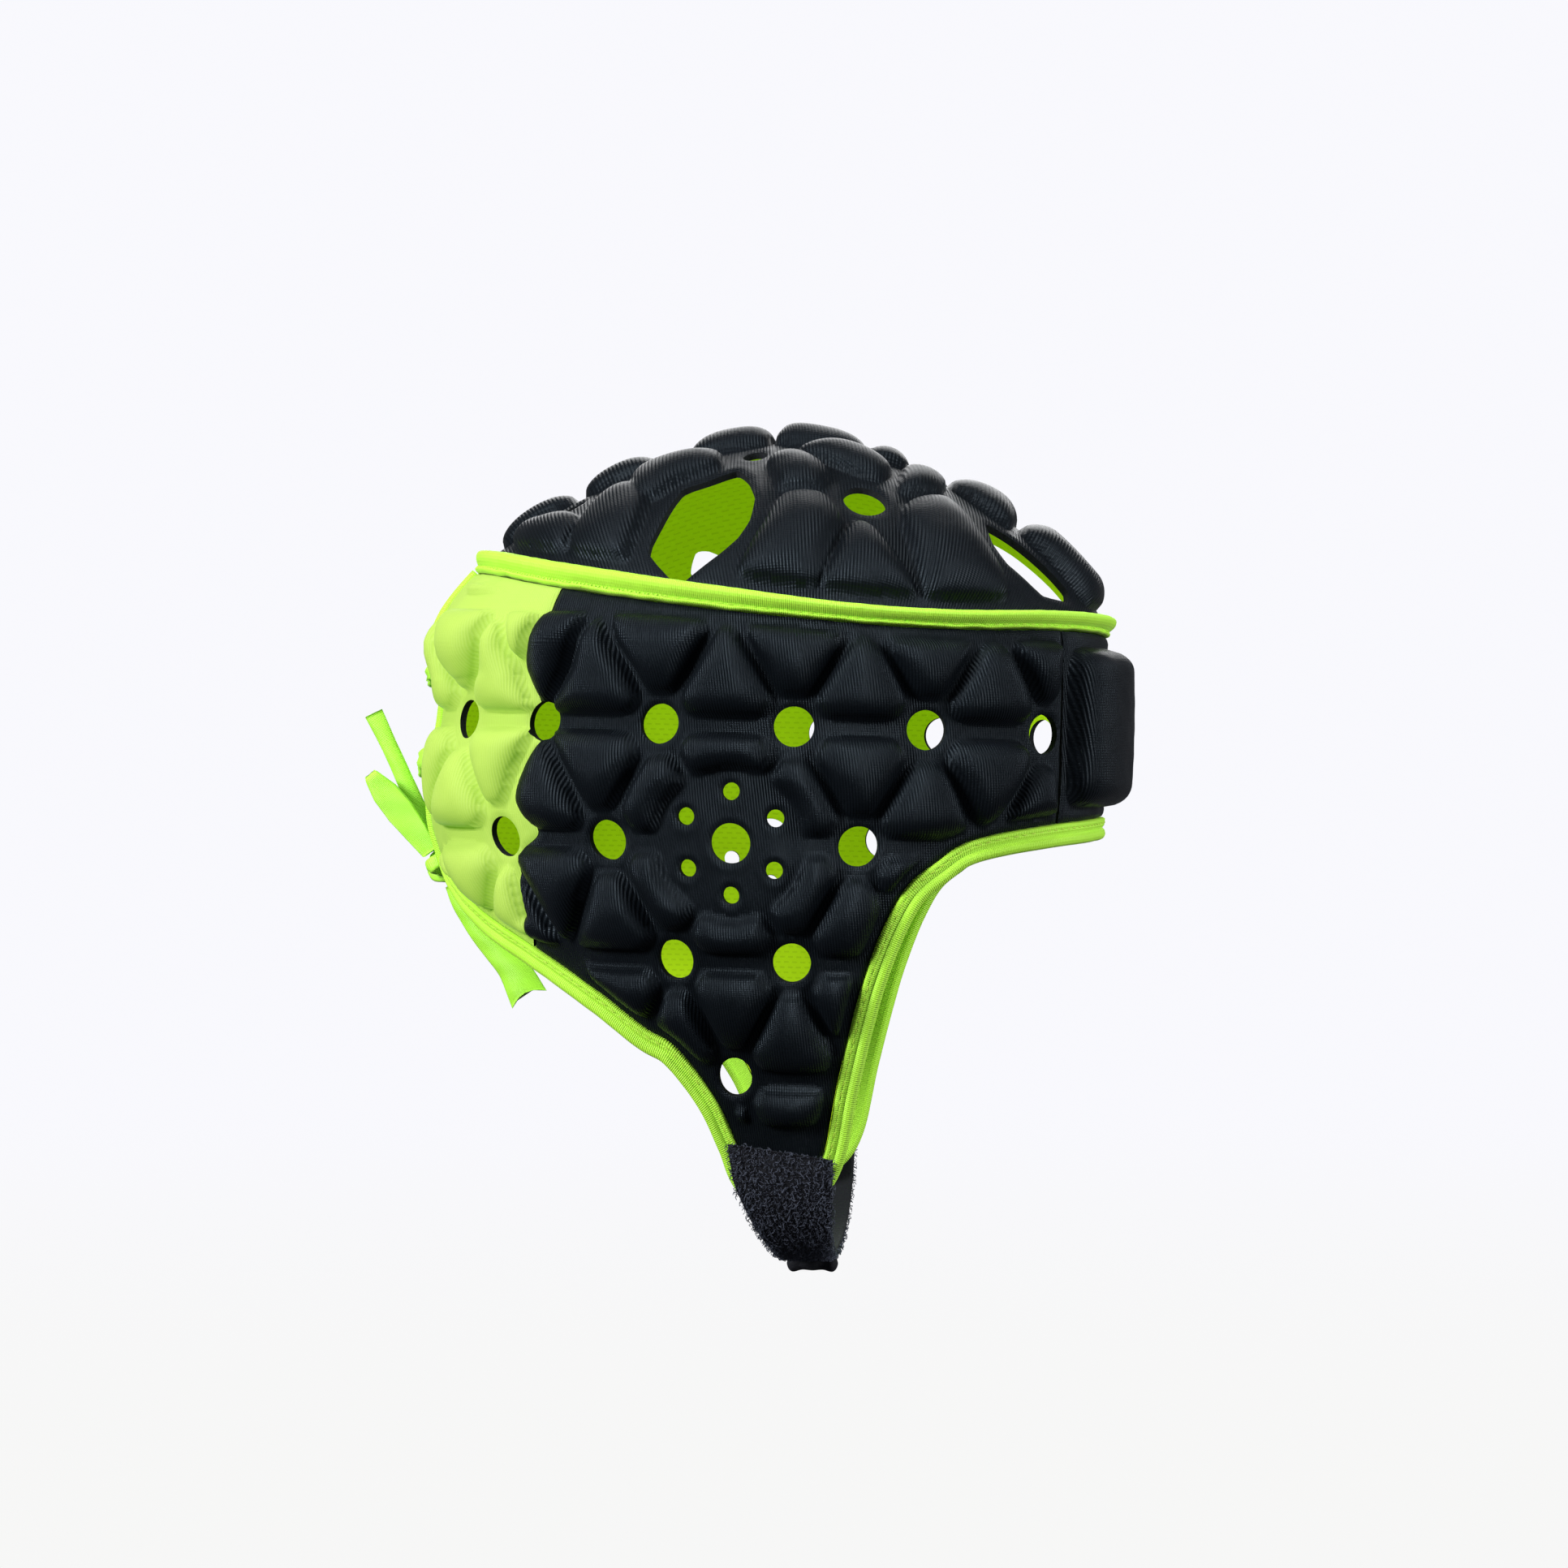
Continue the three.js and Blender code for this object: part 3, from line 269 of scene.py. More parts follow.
def lining_finish():
    finish, tree, shader = new_finish("lime_lining")
    start = Wire(tree)
    along, up = weave_axes(start)
    row = (up / SLIT_ROWS).math("FLOOR")
    place = (along / SLIT_ALONG + row * 0.5).math("FRACT")
    level = (up / SLIT_ROWS).math("FRACT")
    dash = (place - 0.5).math("ABSOLUTE").math("LESS_THAN", SLIT_HALF_LONG)
    slit = dash * (level - 0.5).math("ABSOLUTE").math("LESS_THAN", SLIT_HALF_TALL)
    patches = grain(start, 60.0)
    cloth = blend(start, slit * 0.5 + patches * 0.2, colour(0.5, 0.76, 0.006), colour(0.36, 0.6, 0.003))
    feed(shader, "Base Color", cloth)
    # Painted glow: the lining gives off light in its own colour, which lifts the shade inside the cap.
    feed(shader, "Emission Color", cloth)
    shader.inputs["Emission Strength"].default_value = PAINTED_LINING_GLOW
    rough_up(start, shader, patches * 0.2 - slit, 0.0003)
    shader.inputs["Roughness"].default_value = 0.8
    shader.inputs["Specular IOR Level"].default_value = 0.2
    return finish


def foam_finish():
    finish, tree, shader = new_finish("cut_foam")
    start = Wire(tree)
    cells = grain(start, 1100.0, 4.0)
    feed(shader, "Base Color", blend(start, cells, colour(0.003, 0.003, 0.004), colour(0.018, 0.02, 0.026)))
    rough_up(start, shader, cells, 0.0003)
    shader.inputs["Roughness"].default_value = 0.95
    shader.inputs["Specular IOR Level"].default_value = 0.15
    return finish


lime_lining = lining_finish()
cut_foam = foam_finish()
print("finishes", lime_lining.name, cut_foam.name)

# %% [markdown]
# The bindings are elastic tape with fine ribs across their length. The lace is
# a thin shiny tape of the same colour, soft enough to crease. Both read weave
# with the first number running along the tape.

# %% Binding and lace
TAPE_RIB = 0.62
LACE_RIB = 0.45


def tape_finish(name, dark, light, rib, depth, rough):
    finish, tree, shader = new_finish(name)
    start = Wire(tree)
    along, across = weave_axes(start)
    ribs = wave(along, rib)
    strands = wave(across, rib * 1.6)
    patches = grain(start, 70.0)
    tone = ribs * 0.5 + patches * 0.35 + strands * 0.15
    feed(shader, "Base Color", blend(start, tone, dark, light))
    feed(shader, "Roughness", patches * 0.14 + rough)
    rough_up(start, shader, ribs + strands * 0.3 + patches * 0.4, depth)
    shader.inputs["Sheen Weight"].default_value = 0.1
    shader.inputs["Sheen Tint"].default_value = colour(0.9, 1.0, 0.55)
    shader.inputs["Specular IOR Level"].default_value = 0.35
    return finish


lime_binding = tape_finish("lime_binding", colour(0.36, 0.78, 0.015), colour(0.52, 0.95, 0.08),
                           TAPE_RIB, 0.00012, 0.5)
lime_lace = tape_finish("lime_lace", colour(0.3, 0.8, 0.012), colour(0.5, 0.95, 0.09),
                        LACE_RIB, 0.00006, 0.4)
print("finishes", lime_binding.name, lime_lace.name)

# %% [markdown]
# The stitching is a slightly yellower thread. The strap is covered in loop
# pile: its ground is nearly black and its loops are a little lighter, so the
# pile shows as grey curls on dark.


# %% Thread and pile
def thread_finish():
    finish, tree, shader = new_finish("lime_thread")
    start = Wire(tree)
    twist = grain(start, 2500.0)
    feed(shader, "Base Color", blend(start, twist, colour(0.3, 0.56, 0.012), colour(0.55, 0.8, 0.08)))
    rough_up(start, shader, twist, 0.0001)
    shader.inputs["Roughness"].default_value = 0.6
    return finish


def pile_finish(name, dark, light, sheen):
    finish, tree, shader = new_finish(name)
    start = Wire(tree)
    strands = grain(start, 900.0, 4.0)
    clumps = grain(start, 130.0)
    feed(shader, "Base Color", blend(start, strands * 0.6 + clumps * 0.4, dark, light))
    rough_up(start, shader, strands, 0.0004)
    shader.inputs["Roughness"].default_value = 0.85
    shader.inputs["Specular IOR Level"].default_value = 0.25
    shader.inputs["Sheen Weight"].default_value = sheen
    shader.inputs["Sheen Tint"].default_value = colour(0.7, 0.76, 1.0)
    return finish


lime_thread = thread_finish()
strap_ground = pile_finish("strap_ground", colour(0.0025, 0.003, 0.0045), colour(0.009, 0.01, 0.015), 0.02)
loop_pile = pile_finish("loop_pile", colour(0.008, 0.01, 0.016), colour(0.085, 0.1, 0.14), 0.15)
print("finishes", lime_thread.name, strap_ground.name, loop_pile.name)

# %% [markdown]
# All cloth here lies on one head form. Its widest outline is two half
# super-ellipses; above it a dome closes it, and below it a short table of
# sections draws it in round the ears and jaw. Distances are millimetres, and
# arrays of points go through each formula at once.

# %% The head's outline
HEAD_FRONT = 99.5
HEAD_REAR = 109.0
HEAD_SIDE = 81.0
CROWN_DEPTH = 62.0
OVAL_POWER_FRONT = 2.3
OVAL_POWER_REAR = 1.9
DOME_POWER = 1.6
OVAL_STEPS = 20000

turns = np.linspace(0, np.pi, OVAL_STEPS + 1)
ahead = np.cos(turns) >= 0
oval_power = np.where(ahead, 2 / OVAL_POWER_FRONT, 2 / OVAL_POWER_REAR)
oval_reach = np.where(ahead, HEAD_FRONT, HEAD_REAR)
oval_x = np.sign(np.cos(turns)) * oval_reach * np.abs(np.cos(turns)) ** oval_power
oval_y = -HEAD_SIDE * np.abs(np.sin(turns)) ** oval_power
oval_at = np.concatenate([[0], np.cumsum(np.hypot(np.diff(oval_x), np.diff(oval_y)))])
HALF_GIRTH = oval_at[-1]


def half_way(around):
    """Distance round the head, folded to the right half, and the side it is on."""
    folded = np.abs(around)
    past = folded > HALF_GIRTH
    folded = np.where(past, 2 * HALF_GIRTH - folded, folded)
    return folded, np.where((np.asarray(around) < 0) != past, -1.0, 1.0)


def oval(around):
    folded, side = half_way(around)
    return np.interp(folded, oval_at, oval_x), side * np.interp(folded, oval_at, oval_y)


print("girth", round(2 * HALF_GIRTH, 1), "mm")

# %% The head below and above its widest line
ROW = 35.0
SECTION_COLUMNS = ("rows", "front", "rear", "side")
SECTIONS = np.array([
    (0.0, 1.0, 1.0, 1.0),
    (0.3, 1.0, 0.965, 1.0),
    (1.1, 0.995, 0.995, 1.0),
    (1.5, 0.985, 1.005, 1.0),
    (1.95, 0.965, 0.965, 0.99),
    (2.4, 0.95, 0.92, 0.965),
    (2.95, 0.94, 0.87, 0.91),
    (3.65, 0.93, 0.83, 0.81),
    (4.35, 0.92, 0.81, 0.715),
    (5.1, 0.91, 0.78, 0.625),
])
PROBE = 0.5


def read_table(table, column, at):
    """A smooth value from a table's column, by its first column."""
    keys = table[:, 0]
    values = table[:, column]
    last = len(keys) - 1
    low = np.clip(np.searchsorted(keys, at, side="right") - 1, 0, last - 1)
    span = keys[low + 1] - keys[low]
    share = np.clip((at - keys[low]) / span, 0, 1)

    def slope(j):
        before = np.maximum(j - 1, 0)
        after = np.minimum(j + 1, last)
        return (values[after] - values[before]) / (keys[after] - keys[before])

    a = share ** 2
    b = share ** 3
    start = (2 * b - 3 * a + 1) * values[low] + (b - 2 * a + share) * span * slope(low)
    return start + (3 * a - 2 * b) * values[low + 1] + (b - a) * span * slope(low + 1)


def lining(around, z):
    x, y = oval(around)
    rows = (-CROWN_DEPTH - z) / ROW
    column = {name: SECTION_COLUMNS.index(name) for name in SECTION_COLUMNS}
    front = read_table(SECTIONS, column["front"], rows)
    rear = read_table(SECTIONS, column["rear"], rows)
    side = read_table(SECTIONS, column["side"], rows)
    rise = 1 - np.clip(-z / CROWN_DEPTH, 0, 1)
    dome = (1 - rise ** DOME_POWER) ** (1 / DOME_POWER)
    below = z < -CROWN_DEPTH
    lined_x = x * np.where(below, np.where(x > 0, front, rear), dome)
    lined_y = y * np.where(below, side, dome)
    return np.stack([lined_x, lined_y, z], axis=-1)


def unit_vector(vectors):
    return vectors / np.linalg.norm(vectors, axis=-1, keepdims=True)


def on_head(around, z, out):
    """A point that far out from the lining."""
    around, z, out = np.broadcast_arrays(np.asarray(around, float), np.asarray(z, float), out)
    along = lining(around + PROBE, z) - lining(around - PROBE, z)
    up = lining(around, z + PROBE) - lining(around, z - PROBE)
    return lining(around, z) + out[..., None] * unit_vector(np.cross(up, along))


print("nape of the wall", on_head(HALF_GIRTH, -110.0, 2.5).round(1))

# %% [markdown]
# The side is laid out flat, as a pattern cutter would: pads along from the
# ear towards the brow, and rows up. The crown is laid out as a flattened dome.
# Everything on the cap is drawn in one of these two plans and then carried to
# the head form. The seam between side and crown rises to the rear. A short
# table, BAND_FIT, gives by share of the half girth how far the line dips from
# that rise and how wide the binding is there.

# %% The two flat plans
PADS_AROUND = 15.3
PITCH = 2 * HALF_GIRTH / PADS_AROUND
EAR_GIRTH = HALF_GIRTH * 0.53
EAR_Z = -(CROWN_DEPTH + 1.73 * ROW)
PATTERN_TILT = math.radians(1.4)
SEAM_BROW = 1.5
SEAM_CLIMB = 21.0
SEAM_SPAN = (0.25, 0.92)
BAND_FIT = np.array([
    (0.0, -1.0, 4.9), (0.2, -1.7, 4.5), (0.42, 0.0, 4.6), (0.52, 1.3, 5.6), (0.63, 2.6, 6.3),
    (0.76, 3.0, 6.6), (0.88, 1.6, 6.5), (1.0, 0.0, 6.5),
])


def unit(along, up):
    return np.array([along * PITCH, up * ROW])


def to_head(flat):
    """Distance round the head and height of a point of the side's plan."""
    cos = math.cos(PATTERN_TILT)
    sin = math.sin(PATTERN_TILT)
    s, t = flat[..., 0], flat[..., 1]
    return EAR_GIRTH - cos * s - sin * t, EAR_Z - sin * s + cos * t


def to_pattern(around, z):
    """The way back: a point of the side's plan."""
    cos = math.cos(PATTERN_TILT)
    sin = math.sin(PATTERN_TILT)
    a, b = around - EAR_GIRTH, z - EAR_Z
    return np.stack([-cos * a - sin * b, -sin * a + cos * b], axis=-1)


def smoothstep(x):
    x = np.clip(x, 0, 1)
    return x * x * (3 - 2 * x)


def seam_height(around):
    """Height of the line where side and crown meet."""
    folded, _ = half_way(around)
    share = (folded / HALF_GIRTH - SEAM_SPAN[0]) / (SEAM_SPAN[1] - SEAM_SPAN[0])
    dip = read_table(BAND_FIT, 1, folded / HALF_GIRTH)
    return -CROWN_DEPTH + SEAM_BROW + SEAM_CLIMB * smoothstep(share) - dip


def band_wide(around):
    folded, _ = half_way(around)
    return read_table(BAND_FIT, 2, folded / HALF_GIRTH)


def above_seam(around, distance):
    """Height of a point this far up the cloth from the seam."""
    z = seam_height(around)
    step = np.linalg.norm(lining(around, z + 1) - lining(around, z), axis=-1)
    return z + distance / step


def to_dome(flat):
    """A point of the crown's plan on the dome of the lining."""
    x, y = flat[..., 0], flat[..., 1]
    power = np.where(x > 0, OVAL_POWER_FRONT, OVAL_POWER_REAR)
    reach = np.where(x > 0, HEAD_FRONT, HEAD_REAR)
    share = (np.abs(x / reach) ** power + np.abs(y / HEAD_SIDE) ** power) ** (1 / power)
    turn = np.clip(share, 1e-4, 1) * np.pi / 2
    out = np.sin(turn) ** (2 / DOME_POWER) / np.maximum(share, 1e-9)
    down = 1 - np.cos(turn) ** (2 / DOME_POWER)
    return np.stack([x * out, y * out, -CROWN_DEPTH * down], axis=-1)


def on_dome(flat, out):
    near = np.linalg.norm(flat, axis=-1, keepdims=True) < PROBE
    flat = np.where(near, flat + PROBE, flat)
    ahead_by = to_dome(flat + [PROBE, 0]) - to_dome(flat - [PROBE, 0])
    aside_by = to_dome(flat + [0, PROBE]) - to_dome(flat - [0, PROBE])
    return to_dome(flat) + np.asarray(out)[..., None] * unit_vector(np.cross(ahead_by, aside_by))


def flat_share(z):
    """Share of the crown's plan that reaches down to this height."""
    return np.arccos((1 + z / CROWN_DEPTH) ** (DOME_POWER / 2)) * 2 / np.pi


print("one pad is", round(PITCH, 1), "mm along and", ROW, "mm up")

# %% [markdown]
# A few shape tools follow: smooth curves through given points, evenly
# spaced points on a line, tests on loops, and plain mesh making. They are
# written with arrays, because a panel has tens of thousands of points.


# %% Curves and loops
def smooth_line(points, closed=False, steps=40):
    """A Catmull-Rom curve through points, as a dense line."""
    points = np.asarray(points, float)
    count = len(points)
    spans = count if closed else count - 1
    share = (np.arange(steps) / steps)[:, None]
    runs = []
    for i in range(spans):
        pick = [(i + k) % count if closed else min(max(i + k, 0), count - 1) for k in (-1, 0, 1, 2)]
        p0, p1, p2, p3 = points[pick]
        v1, v2 = (p2 - p0) / 2, (p3 - p1) / 2
        bend = (2 * p1 - 2 * p2 + v1 + v2) * share ** 3 + (3 * p2 - 3 * p1 - 2 * v1 - v2) * share ** 2
        runs.append(bend + v1 * share + p1)
    if not closed:
        runs.append(points[-1:])
    return np.vstack(runs)


def lengths(line):
    return np.concatenate([[0], np.cumsum(np.linalg.norm(np.diff(line, axis=0), axis=1))])


def point_at(line, at):
    """Points of a line by share of its length."""
    run = lengths(line)
    return np.stack([np.interp(np.asarray(at) * run[-1], run, line[:, k]) for k in range(line.shape[1])], -1)


def evenly(line, step, closed=False):
    line = np.vstack([line, line[:1]]) if closed else np.asarray(line, float)
    count = max(2, int(round(lengths(line)[-1] / step)))
    at = np.linspace(0, 1, count + 1)
    return point_at(line, at[:-1] if closed else at)


def keep_corners(line, step):
    """A closed line cut into short steps that still has its corners."""
    runs = []
    for a, b in zip(line, np.roll(line, -1, axis=0)):
        parts = max(1, int(round(np.linalg.norm(b - a) / step)))
        runs.append(a + (b - a) * (np.arange(parts) / parts)[:, None])
    return np.vstack(runs)


def circle(middle, wide, sides):
    turn = 2 * np.pi * (np.arange(sides) + 0.5) / sides
    return np.asarray(middle) + np.stack([np.cos(turn), np.sin(turn)], -1) * wide / 2


def ends_of(loops, closed=True):
    if not closed:
        return np.vstack([line[:-1] for line in loops]), np.vstack([line[1:] for line in loops])
    starts = np.vstack(loops)
    return starts, np.vstack([np.roll(loop, -1, axis=0) for loop in loops])


def in_parts(job, points, size=3000):
    return np.concatenate([job(points[i:i + size]) for i in range(0, len(points), size)])


def inside(points, loops):
    """True inside the first loop and outside the ones within it."""
    a, b = ends_of(loops)
    rise = np.where(b[:, 1] == a[:, 1], 1e-12, b[:, 1] - a[:, 1])

    def job(p):
        spans = (a[:, 1] > p[:, 1:]) != (b[:, 1] > p[:, 1:])
        cross = a[:, 0] + (p[:, 1:] - a[:, 1]) * (b[:, 0] - a[:, 0]) / rise
        return (spans & (p[:, :1] < cross)).sum(axis=1) % 2 == 1

    return in_parts(job, points)


def distance_to(points, loops, closed=True):
    a, b = ends_of(loops, closed)
    edge = b - a
    square = np.maximum((edge ** 2).sum(axis=1), 1e-12)

    def job(p):
        share = ((p[:, None] - a) * edge).sum(axis=-1) / square
        gap = p[:, None] - a - np.clip(share, 0, 1)[..., None] * edge
        return np.sqrt((gap ** 2).sum(axis=-1).min(axis=1))

    return in_parts(job, points)


# %% Meshes
def turned_out(points, faces):
    """Faces of a closed body, turned outwards."""
    if signed_volume(points, faces) > 0:
        return faces
    return [tuple(reversed(face)) for face in faces]


def signed_volume(points, faces):
    corners = np.array([(f[0], f[k], f[k + 1]) for f in faces for k in range(1, len(f) - 1)])
    a, b, c = (points[corners[:, k]] for k in range(3))
    return float((a * np.cross(b, c)).sum() / 6)


def make_piece(name, points, faces, finishes, weave=None, finish_of=None, sharp=None):
    """An object from points in millimetres, shaded smooth, in its own place."""
    points = np.asarray(points, float)
    faces = turned_out(points, faces) if len(faces) else faces
    mesh = bpy.data.meshes.new(name)
    mesh.from_pydata((points * MM).tolist(), [], faces)
    for finish in finishes:
        mesh.materials.append(finish)
    if finish_of is not None:
        mesh.polygons.foreach_set("material_index", np.asarray(finish_of, np.int32))
    mesh.polygons.foreach_set("use_smooth", np.ones(len(faces), bool))
    if weave is not None:
        attribute = mesh.attributes.new("weave", "FLOAT_VECTOR", "POINT")
        cloth = np.zeros((len(points), 3), np.float32)
        cloth[:, :2] = weave
        attribute.data.foreach_set("vector", cloth.ravel())
    if sharp is not None:
        mark_sharp(mesh, sharp)
    mesh.update()
    return new_object(name, mesh)


def mark_sharp(mesh, corners):
    """Edges between two of these corners are creased."""
    ends = np.zeros(len(mesh.edges) * 2, np.int32)
    mesh.edges.foreach_get("vertices", ends)
    marked = np.isin(ends.reshape(-1, 2), list(corners)).all(axis=1)
    attribute = mesh.attributes.get("sharp_edge") or mesh.attributes.new("sharp_edge", "BOOLEAN", "EDGE")
    attribute.data.foreach_set("value", marked)


def mirror_of(piece, name):
    """The same piece on the wearer's other side."""
    mesh = piece.data.copy()
    mesh.name = name
    place = np.zeros(len(mesh.vertices) * 3)
    mesh.vertices.foreach_get("co", place)
    place[1::3] *= -1
    mesh.vertices.foreach_set("co", place)
    mesh.flip_normals()
    mesh.update()
    return new_object(name, mesh)


def place_piece(piece, slot, *nodes):
    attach(piece, BODY)
    if nodes:
        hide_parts(*nodes)
    print(piece.name, len(piece.data.polygons), "faces")
    return piece


# %% A body swept through rings
def ring_faces(rings, sides, closed):
    faces = []
    for i in range(rings if closed else rings - 1):
        low = i * sides
        high = (i + 1) % rings * sides
        for k in range(sides):
            j = (k + 1) % sides
            faces.append((low + k, low + j, high + j, high + k))
    if not closed:
        faces.append(tuple(range(sides)))
        faces.append(tuple(reversed(range((rings - 1) * sides, rings * sides))))
    return faces


def sweep(name, rings, closed, finish, along, across):
    """Rings of points as a closed body; along and across are its weave."""
    count, sides = rings.shape[:2]
    weave = np.stack(np.broadcast_arrays(np.asarray(along)[:, None], across), axis=-1)
    return make_piece(name, rings.reshape(-1, 3), ring_faces(count, sides, closed), [finish],
                      weave.reshape(-1, 2))


# %% [markdown]
# The cords are the lace's loose lengths at the nape. A lace is a flat tape
# with hardly any stiffness, so it keeps the creases of the knot and stands out
# only for a few centimetres. Each follows the same points as its CAD solid.
# The photograph shows them from the knot to their ends, so these are their
# real lengths.

# %% Ribbons
LACE_WIDE = 5.5
LACE_THICK = 1.3
RIBBON_SIDES = 20
NOTCH_LONG = 10.0


def ribbon_section(sides):
    """A flat tape whose edges are rounded: across it and through it, -1 to 1."""
    turn = 2 * np.pi * np.arange(sides) / sides
    across = np.sign(np.cos(turn)) * np.abs(np.cos(turn)) ** 0.75
    through = np.sign(np.sin(turn)) * np.abs(np.sin(turn)) ** 0.6
    return across, through


def ribbon(name, line, wide, thick, cup, crease, notch=0.0):
    """A tape along a line: cup bends it across, crease ripples it, notch hollows its end."""
    along = unit_vector(np.gradient(line, axis=0))
    flat = unit_vector(np.cross((0.0, 1.0, 0.0), along))
    out = np.cross(along, flat)
    across, through = ribbon_section(RIBBON_SIDES)
    run = lengths(line)
    long_waves = np.sin(run[:, None] * 0.55 + across * 2.1)
    cross_waves = np.sin(across * 7 + run[:, None] * 0.2)
    fold = crease * (long_waves + 0.6 * cross_waves)
    lift = through * thick / 2 + cup[:, None] * (across ** 2 - 0.4) + fold
    aside = across * wide[:, None] / 2
    rings = line[:, None] + flat[:, None] * aside[..., None] + out[:, None] * lift[..., None]
    near_end = np.clip((run - run[-1]) / NOTCH_LONG + 1, 0, 1) ** 2
    pull = notch * near_end[:, None] * (1 - across ** 2)
    rings -= along[:, None] * pull[..., None]
    return sweep(name, rings, False, lime_lace, run, across * LACE_WIDE)


def along_table(values, count):
    """One value for each of count points, from a few evenly spaced ones."""
    return np.interp(np.linspace(0, 1, count), np.linspace(0, 1, len(values)), values)


def declare_lace(piece, node, line):
    place_piece(piece, "lime_lace", node)
    long = lengths(line)[-1] * MM
    print(piece.name, "is", round(long * 1000, 1), "mm long")


# %% The upper lace end, cut square
LACE_STEP = 1.2
UPPER_ROUTE = [(-110.8, 2.5, -125.7), (-116.5, 3, -114.8), (-124, 3.5, -98), (-131.5, 4, -82.4)]

upper_line = evenly(smooth_line(UPPER_ROUTE), LACE_STEP)
upper_wide = LACE_WIDE * along_table([1.2, 1.15, 1.0, 0.95, 1.1], len(upper_line))
upper_cup = along_table([0.8, 1.3, 1.1, 0.7, 0.3], len(upper_line))
upper_lace = ribbon("lace_upper_tape", upper_line, upper_wide, LACE_THICK, upper_cup, 0.14)
declare_lace(upper_lace, "lace_end_upper", upper_line)

# %% The loop, out and back
LOOP_ROUTE = [(-111.9, -2.4, -126.6), (-118.5, -2.6, -117.5), (-125, -2.9, -109.5), (-130.2, -3.0, -103.2)]
LOOP_APART = 2.7
LOOP_TURN_STEPS = 7


def loop_line():
    out_run = smooth_line(LOOP_ROUTE)
    tip = out_run[-1]
    ahead_way = unit_vector(out_run[-1] - out_run[-8])
    back = np.array([0.0, -1.0, 0.0])
    turn = np.linspace(0, np.pi, LOOP_TURN_STEPS)[1:-1, None]
    bend = tip + LOOP_APART / 2 * (np.sin(turn) * ahead_way + (1 - np.cos(turn)) * back)
    return evenly(np.vstack([out_run, bend, out_run[::-1] + back * LOOP_APART]), 1.0)


loop_route = loop_line()
loop_wide = LACE_WIDE * along_table([1.0, 1.35, 1.6, 1.5, 0.75, 1.5, 1.65, 1.4, 1.0], len(loop_route))
loop_cup = along_table([0.4, 0.8, 0.5, 0.1, -0.4, -0.7, -0.3], len(loop_route))
loop_lace = ribbon("lace_loop_tape", loop_route, loop_wide, LACE_THICK, loop_cup, 0.16)
declare_lace(loop_lace, "lace_loop", loop_route)

# %% The lower lace end, opened out flat at its cut
LOWER_ROUTE = [(-105.2, 0, -136.8), (-101.8, -1, -144.4), (-94.6, -2, -154.2), (-86.2, -3, -163),
               (-80.5, -4, -173.2)]
LOWER_NOTCH = 2.4

lower_line = evenly(smooth_line(LOWER_ROUTE), LACE_STEP)
lower_wide = LACE_WIDE * along_table([1.05, 1.15, 1.4, 1.85, 2.25], len(lower_line))
lower_cup = along_table([0.8, 1.2, 1.6, 1.5, 0.9], len(lower_line))
lower_lace = ribbon("lace_lower_tape", lower_line, lower_wide, LACE_THICK, lower_cup, 0.22,
                    LOWER_NOTCH)
declare_lace(lower_lace, "lace_end_lower", lower_line)

# %% [markdown]
# A padded panel is a sandwich: knit outside, mesh lining inside, foam between,
# pressed together along grooves. Seen flat, each pad is a polygon, and its
# height depends on how far in from its edges a point lies: a steep foot where
# the press bites, then a gentler rise to the middle. Those distances are joined
# by a power mean instead of their minimum. It rounds the pad's corners at its
# foot and its ridges above, as stretched cloth does.

# %% Pad heights
GROOVE = 4.4
VALLEY = 1.6
SOFTNESS = 4.2
RIDGE_POWER = 3.2
FOOT_STEP = 1.9
FOOT_WIDE = 0.4


def edge_depths(points, loop):
    """How far inside each edge of a convex loop the points lie."""
    a, b = ends_of([loop])
    area = (a[:, 0] * b[:, 1] - b[:, 0] * a[:, 1]).sum()
    edge = unit_vector(b - a) * (1 if area > 0 else -1)
    gap = points[:, None] - a
    return edge[:, 0] * gap[..., 1] - edge[:, 1] * gap[..., 0]


def pad_depth(points, pads, limits, inset):
    """How deep inside its pad each point lies; negative in the grooves."""
    bounds = [limit(points) for limit in limits]
    best = np.full(len(points), -1e3)
    for loop in pads:
        terms = np.array([*(edge_depths(points, loop) - inset).T, *bounds]) + SOFTNESS
        mean = (np.maximum(terms, 0.01) ** -RIDGE_POWER).sum(axis=0) ** (-1 / RIDGE_POWER)
        best = np.maximum(best, mean - SOFTNESS)
    return best


def pad_height(depth, rise, slope, rounding):
    deep = np.clip(depth, 0, None)
    share = np.clip(depth / slope, 0, 1)
    foot = FOOT_STEP * (1 - np.exp(-deep / FOOT_WIDE))
    return foot + (rise - FOOT_STEP) * (1 - (1 - share) ** rounding)


def within(loops, margin):
    """A limit: how far inside a loop, less a margin."""
    def limit(points):
        return np.where(inside(points, loops), 1, -1) * distance_to(points, loops) - margin
    return limit


def outside(loops, margin):
    def limit(points):
        return np.where(inside(points, loops), -1, 1) * distance_to(points, loops) - margin
    return limit


def clear_of(line, margin):
    """A limit: how far from an open line, less a margin."""
    def limit(points):
        return distance_to(points, [line], closed=False) - margin
    return limit


# %% [markdown]
# Each panel's mesh is drawn flat first: the cut edges, and a fine grid of
# points between them. Grid points next to the foot of a pad are moved onto it,
# so that the crease there is one clean line of edges, as it is on the pressed
# cloth. A Delaunay triangulation joins them all.

# %% Flat triangles
def grid_points(loops, step, clear):
    low, high = loops[0].min(axis=0), loops[0].max(axis=0)
    rows = np.arange(low[1], high[1], step * math.sqrt(3) / 2)
    columns = np.arange(low[0], high[0], step)
    x = columns[None] + (np.arange(len(rows)) % 2 * step / 2)[:, None]
    points = np.stack([x, np.broadcast_to(rows[:, None], x.shape)], -1).reshape(-1, 2)
    points = points[inside(points, loops)]
    return points[distance_to(points, loops) > clear]


